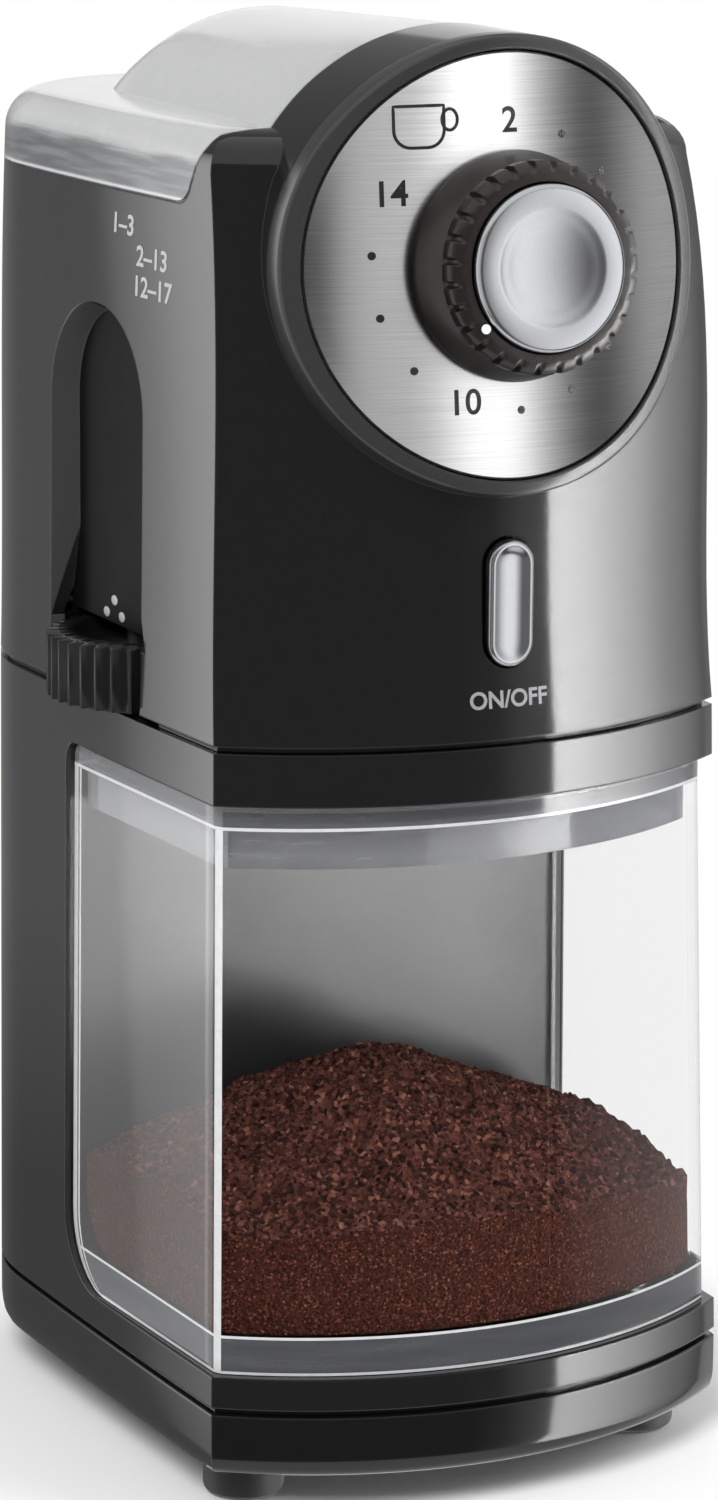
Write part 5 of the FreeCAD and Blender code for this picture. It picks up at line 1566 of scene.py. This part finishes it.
@dataclass
class Container:
    """The clear grounds container, its lid and the coffee in it.

    A strip runs up each rear corner, between rims, drawn only in colour: pale painted streaks on the strip
    and a painted highlight on its rims.
    The lid's flange lies on the container's rim, and its skirt hangs inside the wall.
    """

    low: Level = Level(25.6, 48.9, -44.6, 50.4)
    high: Level = Level(121.8, 47.3, -41.7, 49.5)
    rear: float = 15.0
    corner: float = 0.5
    chamfer: float = 0.9
    # The strip and its rims, with the gap between them, and the foot's rim are bands of painted streaks and
    # painted highlight.
    strip: float = 3.2
    strip_highlight_band: float = 0.6
    strip_gap: float = 0.6
    foot_highlight_band: float = 0.5
    skirt_low: float = 114.6
    wall: float = 1.6
    floor: float = 32.0
    heel: float = 13.5
    skirt_gap: float = 0.3
    skirt_thick: float = 1.8
    flange_low: float = 121.85
    flange_rim: float = 122.4
    cover_high: float = 126.0
    cover_round: float = 3.5
    port: tuple = (10.0, -22.0, -4.0, 4.0)
    peak: tuple = (-1.8, -12.0, 71.6)
    slope: float = 0.43
    crumb: float = 1.35
    crumb_lift: float = 0.95
    crumb_sink: float = 0.45
    crumb_depth: float = 3.0

    def ring(self, z: float, inset: float, heel_low: float, level_z: float | None = None,
             fine: float = 1.0) -> Ring:
        """The container's plan at a height, drawn in at the heel of its back.

        Args:
            z: The ring's height.
            inset: How far it is moved in from the outer face.
            heel_low: The height where the heel's round starts.
            level_z: The height whose plan it takes, if not its own.
            fine: How many times as many points it has.

        Returns:
            The ring's points.
        """
        part = ((z if level_z is None else level_z) - self.low.z) / (self.high.z - self.low.z)
        half, front, side = (getattr(self.low, name) * (1 - part) + getattr(self.high, name) * part
                             for name in ("half", "front", "side"))
        rear = self.back(z, inset, heel_low)
        half, front, side = half - inset, front + inset, side - inset
        bow, cut, turn_y = FORM.front_radius - inset, self.chamfer, rear - self.corner
        slant = half / bow
        nose = (half - cut * math.sqrt(1 - slant ** 2), front - cut * slant)
        flank = [(half + (side - half) * (y - front) / (turn_y - front), y, 0.0)
                 for y in (front + cut, rear - self.strip, rear - self.strip + self.strip_highlight_band,
                           rear - self.strip + self.strip_highlight_band + self.strip_gap)]
        right = [(nose[0], nose[1], 0.0)] + flank
        right += [(side, turn_y, self.corner), (side - self.corner, rear, 0.0)]
        left = [(-side + self.corner, rear, self.corner), (-side, turn_y, 0.0)]
        left += [(-x, y, 0.0) for x, y, _ in reversed(flank)] + [(-nose[0], nose[1], bow)]
        counts = [1, 14, 1, 1, 1, 4, 24, 4, 1, 1, 1, 14, 1, 44]
        return [(x, y, z) for x, y in loop(right + left, [max(round(count * fine), 1) for count in counts])]

    def back(self, z: float, inset: float, heel_low: float) -> float:
        """The Y of the container's back, which is round at its heel.

        Args:
            z: The height.
            inset: How far it is moved in from the outer face.
            heel_low: The height where the heel's round starts.

        Returns:
            The Y.
        """
        heel = self.heel - inset
        drop = min(max(heel_low + heel - z, 0.0), heel)
        return self.rear - inset - heel + math.sqrt(max(heel ** 2 - drop ** 2, 0.0))

    def inside(self, spot: Vector, normal: Vector) -> bool:
        """Tells whether a face of the jar is on its inside or its back, which show no gloss."""
        inward = normal.x * spot.x + normal.y * (spot.y - self.peak[1]) < 0
        return inward or normal.y > 0.7 or (normal.z > 0.5 and spot.z < self.floor + 5)

    def foot(self, spot: Vector, normal: Vector) -> bool:
        """Tells whether a face is outside on the jar's thick foot, which takes the dark painted streaks."""
        return spot.z < self.floor and not self.inside(spot, normal)

    def edges(self, spot: Vector, normal: Vector) -> bool:
        """Tells whether a face is outside along the jar's back, which takes the pale painted streaks.

        Args:
            spot: The face's middle in millimetres.
            normal: Its normal.

        Returns:
            Whether it is.
        """
        if self.inside(spot, normal):
            return False
        return abs(normal.x) > 0.5 and spot.y > self.back(spot.z, 0.0, self.low.z) - self.strip

    def rims(self, spot: Vector, normal: Vector) -> bool:
        """Tells whether a face is on a rim that takes a painted highlight: of the foot, the back, a front
        corner or the mouth.

        Args:
            spot: The face's middle in millimetres.
            normal: Its normal.

        Returns:
            Whether it is.
        """
        if self.inside(spot, normal) or abs(normal.z) > 0.7:
            return spot.z > self.high.z - 0.1
        rise = spot.z - self.low.z
        thick = self.floor - self.low.z
        foot = rise < self.foot_highlight_band or 0 < rise - thick < self.foot_highlight_band
        behind = self.back(spot.z, 0.0, self.low.z) - spot.y
        inner = self.strip - self.strip_highlight_band
        back = abs(normal.x) > 0.5 and (behind < inner - self.strip_gap or inner < behind < self.strip)
        corner = abs(normal.x) > 0.6 and normal.y < -0.25 and spot.y < self.low.front + 5.0
        return foot or back or corner

    def painted_shade_front(self, spot: Vector, normal: Vector) -> bool:
        """Tells whether a face of the lid is in front, under its top edge, where the darker grey is painted
        shade.
        """
        return spot.z < self.cover_high - 1.0 and normal.y < -0.5

    def painted_flange_highlights(self, spot: Vector, normal: Vector) -> bool:
        """Tells whether a face of the lid is on the rims at the top and foot of its flange, which take a
        painted highlight.
        """
        top = spot.z > self.cover_high - 0.45
        return abs(normal.z) < 0.9 and (top or self.high.z < spot.z < self.flange_rim)

    def jar(self) -> bpy.types.Object:
        """Models the container: outside up, over the rim and down the inside.

        Returns:
            The container.
        """
        low, high, wall, floor = self.low.z, self.high.z, self.wall, self.floor
        outside = [low + self.heel * (1 - math.cos(math.radians(a))) for a in range(0, 91, 10)]
        outside = sorted(outside + [60.0, 90.0, high, low + self.foot_highlight_band, floor, floor + self.foot_highlight_band])
        heel = self.heel - wall
        inside = [high, 90.0, 60.0]
        inside += [floor + heel * (1 - math.cos(math.radians(a))) for a in range(90, -1, -10)]
        rings = [self.ring(z, 0.0, low) for z in outside]
        rings += [self.ring(z, wall, floor) for z in inside]
        return loft("clear_jar", rings)

    def cover(self) -> bpy.types.Object:
        """Models the container's lid with its rim, skirt and port.

        Returns:
            The lid.
        """
        outer, top, turn = self.wall + self.skirt_gap, self.cover_high, self.cover_round
        inner = outer + self.skirt_thick
        sections = [(inner, 122.4), (inner, self.skirt_low), (outer, self.skirt_low),
                    (outer, self.flange_low), (0.0, self.flange_low), (0.0, self.flange_rim), (0.0, 124.4),
                    (0.0, 125.1), (0.0, 125.6), (0.4, top), (2.8, top), (3.2, 125.6), (3.2, 124.0)]
        cover = loft("jar_lid", [self.ring(z, inset, 0.0, self.high.z) for inset, z in sections])
        for vertex in cover.data.vertices:
            rise = max(vertex.co.z / MM - top + turn, 0.0)
            reach = self.rear - turn + math.sqrt(max(turn ** 2 - rise ** 2, 0.0))
            vertex.co.y = min(vertex.co.y, reach * MM)
        port = [[(x, y, z) for x, y in round_box(*self.port)] for z in (115.0, 130.0)]
        return carve(cover, loft("jar_port", port))

    def heap_height(self, x: float, y: float) -> float:
        """The height of the coffee, in a blunt cone with low waves.

        Args:
            x: The place's X.
            y: Its Y.

        Returns:
            The height.
        """
        peak_x, peak_y, top = self.peak
        far = math.hypot(x - peak_x, (y - peak_y) * 1.1)
        waves = noise.fractal(Vector((x, y, 3.0)) / 14.0, 1.0, 2.0, 3) * 1.3
        return top - self.slope * (math.sqrt(far ** 2 + 5.0) - 2.2) + waves

    def coffee(self) -> bpy.types.Object:
        """Models the heap: sides against the wall, a cone over them, and crumbs on the cone.

        Returns:
            The heap.
        """
        inset = self.wall + 0.3
        heel = self.heel - inset
        sides = [self.floor + heel * (1 - math.cos(math.radians(a))) for a in range(0, 91, 15)]
        rings = [self.ring(z, inset, self.floor, fine=2.0) for z in sides]
        edge = self.ring(46.0, inset, self.floor, fine=2.0)
        parts = steps(0.0, 1.0, 10)[1:]
        for part in parts:
            rings.append([(x, y, sides[-1] + (self.heap_height(x, y) - sides[-1]) * part)
                          for x, y, _ in edge])
        for scale in steps(0.985, 0.02, 60):
            ring = []
            for x, y, _ in edge:
                a, b = x * scale + self.peak[0] * (1 - scale), y * scale + self.peak[1] * (1 - scale)
                ring.append((a, b, self.heap_height(a, b)))
            rings.append(ring)
        heap = loft("coffee_heap", rings)
        activate(heap)
        finer = heap.modifiers.new("finer", "SUBSURF")
        finer.subdivision_type = "SIMPLE"
        finer.levels = finer.render_levels = 1
        bpy.ops.object.modifier_apply(modifier="finer")
        for vertex in heap.data.vertices:
            x, y, z = vertex.co / MM
            crumb = noise.voronoi(Vector((x, y, z)) / self.crumb)[0][0]
            lift = self.crumb_lift * (1 - min(crumb / 0.6, 1.0) ** 2) - self.crumb_sink
            lift += noise.noise(Vector((x, y, z)) / 3.1) * 0.7
            depth = self.crumb_depth
            reach = min(max((z - self.heap_height(x, y) + depth) / depth, 0.0), 1.0)
            vertex.co.z += lift * reach * MM
        return heap

    def build(self) -> None:
        """Models and dresses the container, its lid and the coffee."""
        jar = dress(self.jar(), CLEAR_SAN, Body.CONTAINER, "grounds_container")
        # The jar's foot, back strips and rims take painted streaks and painted highlights.
        for finish, chosen in ((CLEAR_INSIDE, self.inside), (PAINTED_DARK_STREAKS, self.foot), (PAINTED_PALE_STREAKS, self.edges),
                               (PAINTED_RIM_HIGHLIGHT, self.rims)):
            accent(jar, finish, chosen)
        # The lid is painted with pale streaks, a darker painted shade on its front and painted highlights on
        # its flange.
        cover = dress(self.cover(), PAINTED_PALE_STREAKS, Body.CONTAINER, "container_lid")
        accent(cover, PAINTED_DARK_STREAKS, self.painted_shade_front)
        accent(cover, PAINTED_RIM_HIGHLIGHT, self.painted_flange_highlights)
        dress(self.coffee(), COFFEE, Body.CONTAINER, "ground_coffee", angle=180)


@dataclass
class SmoothNodes:
    """CAD nodes that are only merged and shaded smooth, and inner ones that are left as they are."""

    frame: dict
    shown: dict = field(default_factory=lambda: {
        "grind_wheel": (WHEEL_BLACK, Body.WHEEL, "black_moulding"),
        "cord_gland": (WHEEL_BLACK, Body.HOUSING, "black_moulding"),
    })

    def build(self) -> None:
        """Copies the shown nodes and gives every inner one its finish."""
        for node, (finish, body, slot) in self.shown.items():
            copy = self.frame["nodes"][node].copy()
            copy.data = copy.data.copy()
            copy.parent = None
            copy.name = f"{node}_smooth"
            bpy.context.collection.objects.link(copy)
            activate(copy)
            bpy.ops.object.mode_set(mode="EDIT")
            bpy.ops.mesh.select_all(action="SELECT")
            bpy.ops.mesh.remove_doubles(threshold=1e-6)
            bpy.ops.object.mode_set(mode="OBJECT")
            dress(copy, finish, body, node)
        for finish, nodes in INNER_FINISHES.items():
            for node in nodes:
                for holder in self.frame["nodes"][node].material_slots:
                    holder.material = finish.material()


# Studio


class Link(Enum):
    """Which pieces reflect a card, of those that it names."""

    ONLY = "INCLUDE"
    SKIP = "EXCLUDE"


@dataclass(frozen=True)
class Card:
    """A bowed card round the object, which only reflections show.

    Sizes are in millimetres. A glow is a direction from the middle of the object, in degrees from +X, and how
    bright the card is there. Below foot_high a card dims to its foot at foot_low. A thin card adds to what is
    behind it. One seen through shows in what clear plastic passes, and not in what it reflects.
    """

    name: str
    low: float
    high: float
    glows: tuple[tuple[float, float], ...]
    reach: float = 420.0
    foot: float = 1.0
    foot_low: float = 0.0
    foot_high: float = 1.0
    thin: bool = False
    through: bool = False
    link: Link = Link.SKIP
    pieces: tuple[str, ...] = ()

    def mesh(self, middle: tuple[float, float]) -> bpy.types.Object:
        """Stands the card round the object.

        Args:
            middle: The place on the floor that it stands round.

        Returns:
            The bowed card.
        """
        deselect()
        bpy.ops.mesh.primitive_grid_add(x_subdivisions=40, y_subdivisions=1, size=1.0)
        card = bpy.context.object
        card.name = self.name
        start, stop = self.glows[0][0], self.glows[-1][0]
        for vertex in card.data.vertices:
            part, tall = vertex.co.x + 0.5, vertex.co.y + 0.5
            turn = math.radians(start + (stop - start) * part)
            place = (middle[0] + self.reach * math.cos(turn), middle[1] + self.reach * math.sin(turn),
                     self.low + (self.high - self.low) * tall)
            vertex.co = Vector(place) * MM
        return card

    def material(self, layer: str) -> bpy.types.Material:
        """Makes the card's light, which changes across it and towards its foot.

        Args:
            layer: The name of the card's UV layer.

        Returns:
            The material.
        """
        made = bpy.data.materials.new(self.name)
        made.use_nodes = True
        tree = made.node_tree
        tree.nodes.clear()
        place = add_node(tree, "UVMap", uv_map=layer)
        parts = add_node(tree, "SeparateXYZ", {"Vector": place.outputs["UV"]})
        start, stop = self.glows[0][0], self.glows[-1][0]
        peak = max(glow for _, glow in self.glows)
        bands = [((turn - start) / (stop - start), (glow / peak, glow / peak, glow / peak, 1.0))
                 for turn, glow in self.glows]
        band = stops(add_node(tree, "ValToRGB", {"Fac": parts.outputs["X"]}), *bands)
        tall = self.high - self.low
        level = add_node(tree, "MapRange", {"Value": parts.outputs["Y"]},
                         {"From Min": (self.foot_low - self.low) / tall,
                          "From Max": (self.foot_high - self.low) / tall,
                          "To Min": peak * self.foot, "To Max": peak})
        light = add_node(tree, "Emission", {"Color": band.outputs["Color"],
                                            "Strength": level.outputs["Result"]})
        if self.thin:
            clear = add_node(tree, "BsdfTransparent")
            light = add_node(tree, "AddShader", {0: clear.outputs[0], 1: light.outputs[0]})
        add_node(tree, "OutputMaterial", {"Surface": light.outputs[0]})
        return made

    def build(self, middle: tuple[float, float]) -> None:
        """Stands the card up and links it to the pieces that reflect it.

        Args:
            middle: The place on the floor that it stands round.
        """
        card = self.mesh(middle)
        card.data.materials.append(self.material(card.data.uv_layers[0].name))
        card.visible_camera = False
        card.visible_diffuse = False
        card.visible_shadow = False
        card.visible_transmission = self.through
        card.visible_glossy = not self.through
        if self.pieces:
            group = bpy.data.collections.new(f"{self.name}_pieces")
            for name in self.pieces:
                group.objects.link(bpy.data.objects[name])
            for member in group.collection_objects:
                member.light_linking.link_state = self.link.value
            card.light_linking.receiver_collection = group


METAL = ("steel_plate", "silver_cap", "long_button")
JAR = ("clear_jar",)
DIM_ROOM = ((-165.0, 0.24), (-80.0, 0.24), (-70.0, 0.35), (-68.0, 0.5), (-62.0, 0.9), (-54.8, 1.2))
CARDS = (
    # The dim room in front, which lies dark and even in the gloss of the housing.
    Card("room_high", 50.0, 480.0, DIM_ROOM, pieces=METAL + JAR),
    Card("room_middle", -97.0, 50.0, DIM_ROOM, pieces=METAL + JAR),
    Card("room_low", -260.0, -97.0,
         ((-165.0, 0.13), (-76.0, 0.14), (-68.0, 0.35), (-62.0, 0.7), (-54.8, 1.2)),
         pieces=METAL + JAR),
    Card("room_right", 205.0, 480.0, ((-54.8, 1.0), (-24.0, 1.0)), pieces=METAL + JAR),
    Card("room_behind", 400.0, 900.0, ((30.0, 0.35), (150.0, 0.35))),
    # The softbox at the right, brightest at its edge, which shows as the long highlight.
    Card("softbox_right", -260.0, 205.0,
         ((-54.7, 15.8), (-50.0, 15.3), (-44.0, 13.0), (-38.0, 10.4), (-32.0, 8.0), (-26.0, 6.0),
          (-20.0, 3.9), (-14.0, 2.6), (-8.0, 1.7), (-4.0, 1.1), (0.0, 0.6)),
         foot=0.56, foot_low=-110.0, foot_high=10.0, pieces=METAL + JAR),
    Card("softbox_edge", 205.0, 480.0, ((-24.0, 5.2), (-14.0, 2.6), (-4.0, 1.2), (0.0, 0.7)),
         pieces=METAL + JAR),
    # The softbox at the left, which fades along the side of the housing.
    Card("softbox_left", -300.0, 400.0,
         ((80.0, 0.2), (92.0, 0.3), (106.0, 0.41), (118.0, 0.48), (124.6, 0.55), (125.0, 1.0), (128.0, 1.65),
          (130.0, 2.4), (132.0, 2.9), (134.0, 3.3), (150.0, 3.3)),
         foot=0.55, foot_low=-75.0, foot_high=0.0),
    # Veils on the jar's panes, and the light that the wall behind the jar throws back through it.
    Card("jar_left", -300.0, 300.0, ((95.0, 0.35), (140.0, 0.5)),
         reach=380.0, thin=True, link=Link.ONLY, pieces=JAR),
    Card("jar_right", -260.0, 300.0, ((-54.0, 0.0), (-46.0, 0.25), (-35.0, 0.5), (-20.0, 0.65), (0.0, 0.8)),
         reach=380.0, thin=True, link=Link.ONLY, pieces=JAR),
    Card("jar_through", 1.0, 105.0, ((-86.0, 2.9), (-72.0, 3.3), (-68.0, 4.6), (-62.0, 9.5), (-48.0, 11.0)),
         reach=230.0, through=True),
    # Strips of light and shade that lie upright on the brushed dial, and others for the satin cap and button.
    Card("dial_bands", 120.0, 460.0,
         ((-111.0, 0.05), (-107.0, 0.05), (-105.4, 0.56), (-100.0, 0.78), (-90.0, 0.78), (-84.5, 1.1),
          (-79.7, 1.9), (-77.0, 2.3), (-66.0, 2.3), (-62.4, 1.2), (-56.7, 0.5), (-51.0, 0.12),
          (-44.5, 0.02), (-37.0, 0.26), (-30.7, 0.55), (-10.0, 0.55)),
         reach=380.0, thin=True, link=Link.ONLY, pieces=("steel_plate",)),
    Card("cap_bands", -60.0, 420.0,
         ((-165.0, 0.8), (-124.0, 0.7), (-112.0, 0.2), (-104.0, 0.06), (-94.0, 0.12), (-87.0, 0.3),
          (-79.0, 0.62), (-71.0, 1.0), (-59.0, 1.35), (-49.0, 1.5), (-36.0, 1.6)),
         reach=380.0, thin=True, link=Link.ONLY, pieces=("silver_cap",)),
    Card("button_bands", -60.0, 420.0,
         ((-140.0, 0.5), (-115.0, 0.2), (-97.0, 0.16), (-84.0, 0.7), (-74.0, 1.45), (-62.0, 1.5),
          (-52.0, 1.2), (-10.0, 0.2)),
         reach=380.0, thin=True, link=Link.ONLY, pieces=("long_button",)),
)


@dataclass
class Studio:
    """The floor, the light, the cards that reflect in the gloss, and the camera."""

    eye: Point = (-403.254, -809.783, 326.838)
    yaw: float = 26.486
    pitch: float = 12.705
    roll: float = 0.414
    focal: float = 5114.6
    frame_height: int = 1500
    sensor: float = 36.0
    target: Point = (0.0, 0.0, 120.0)
    middle: Spot = (0.0, 5.0)
    shade_near: float = 70.0
    shade_far: float = 108.0

    def camera(self) -> None:
        """Adds the camera where the photograph was taken from."""
        deselect()
        bpy.ops.object.camera_add()
        camera = bpy.context.object
        camera.data.sensor_fit = "VERTICAL"
        camera.data.sensor_height = self.sensor
        camera.data.lens = self.sensor * self.focal / self.frame_height
        camera.data.clip_start = 0.05
        yaw, pitch, roll = (math.radians(angle) for angle in (self.yaw, self.pitch, self.roll))
        ahead = Vector((math.sin(yaw) * math.cos(pitch), math.cos(yaw) * math.cos(pitch), -math.sin(pitch)))
        right = Vector((math.cos(yaw), -math.sin(yaw), 0.0))
        up = right.cross(ahead)
        right, up = (right * math.cos(roll) + up * math.sin(roll),
                     up * math.cos(roll) - right * math.sin(roll))
        turn = Matrix((right, up, -ahead)).transposed()
        camera.matrix_world = Matrix.Translation(Vector(self.eye) * MM) @ turn.to_4x4()
        bpy.context.scene.camera = camera

    def seen(self, tree: bpy.types.NodeTree) -> bpy.types.Node:
        """Adds a value that is 1 for what the camera, gloss and clear plastic see.

        Args:
            tree: A material's or the world's tree.

        Returns:
            The node with the value.
        """
        path = add_node(tree, "LightPath")
        gloss = add_node(tree, "Math", {0: path.outputs["Is Camera Ray"], 1: path.outputs["Is Glossy Ray"]},
                         operation="MAXIMUM")
        return add_node(tree, "Math", {0: gloss.outputs[0], 1: path.outputs["Is Transmission Ray"]},
                        operation="MAXIMUM")

    def world(self) -> None:
        """Sets a white surround that lights the object softly."""
        world = bpy.data.worlds.new("white_surround")
        world.use_nodes = True
        tree = world.node_tree
        tree.nodes.clear()
        white = add_node(tree, "Background", None, {"Color": (1, 1, 1, 1), "Strength": 1.0})
        soft = add_node(tree, "Background", None, {"Color": (1, 1, 1, 1), "Strength": 0.55})
        mixed = add_node(tree, "MixShader", {"Fac": self.seen(tree).outputs[0], 1: soft.outputs[0],
                                             2: white.outputs[0]})
        add_node(tree, "OutputWorld", {"Surface": mixed.outputs[0]})
        bpy.context.scene.world = world

    def floor(self) -> None:
        """Adds a pale floor that keeps the shadow near the object and runs out to white."""
        deselect()
        bpy.ops.mesh.primitive_plane_add(size=6.0)
        floor = bpy.context.object
        floor.name = "floor"
        made = bpy.data.materials.new("pale_floor")
        made.use_nodes = True
        tree = made.node_tree
        tree.nodes.clear()
        shade = add_node(tree, "BsdfDiffuse", None, {"Color": linear("#f4f4f4")})
        white = add_node(tree, "Emission", None, {"Color": (1, 1, 1, 1), "Strength": 1.0})
        place = add_node(tree, "TexCoord")
        far = add_node(tree, "VectorMath", {0: place.outputs["Object"]}, operation="LENGTH")
        out = add_node(tree, "MapRange", {"Value": far.outputs["Value"]},
                       {"From Min": self.shade_near * MM, "From Max": self.shade_far * MM},
                       interpolation_type="SMOOTHSTEP")
        part = add_node(tree, "Math", {0: out.outputs["Result"], 1: self.seen(tree).outputs[0]},
                        operation="MULTIPLY")
        mixed = add_node(tree, "MixShader", {"Fac": part.outputs[0], 1: shade.outputs[0],
                                             2: white.outputs[0]})
        add_node(tree, "OutputMaterial", {"Surface": mixed.outputs[0]})
        floor.data.materials.append(made)
        floor.visible_glossy = False

    def lamp(self, name: str, place: Point, size: float, power: float) -> None:
        """Adds a soft lamp aimed at the middle of the object.

        Args:
            name: The lamp's name.
            place: Where it stands, in millimetres.
            size: Its width in millimetres.
            power: Its power in watts.
        """
        deselect()
        bpy.ops.object.light_add(type="AREA", location=Vector(place) * MM)
        lamp = bpy.context.object
        lamp.name = name
        lamp.data.shape = "DISK"
        lamp.data.size = size * MM
        lamp.data.energy = power
        lamp.visible_glossy = False
        aim = Vector(self.target) - Vector(place)
        lamp.rotation_euler = aim.to_track_quat("-Z", "Y").to_euler()

    def build(self) -> None:
        """Sets up the studio round the finished pieces."""
        bpy.context.scene.view_settings.view_transform = "Standard"
        self.world()
        self.floor()
        self.camera()
        self.lamp("key", (-900.0, -900.0, 1300.0), 900.0, 22.0)
        self.lamp("fill", (1100.0, -700.0, 900.0), 900.0, 9.0)
        for card in CARDS:
            card.build(self.middle)


def main() -> None:
    """Builds every sub-assembly in order."""
    logging.basicConfig(level=logging.INFO, format="%(name)s: %(message)s")
    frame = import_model()
    for part in (Base(), LowerHousing(), UpperHousing(), Dial(), Knob(), StartButton(), SideMarks(), Hopper(),
                 Container(), SmoothNodes(frame), Studio()):
        log.info("building %s", type(part).__name__)
        part.build()


if __name__ == "__main__":
    main()
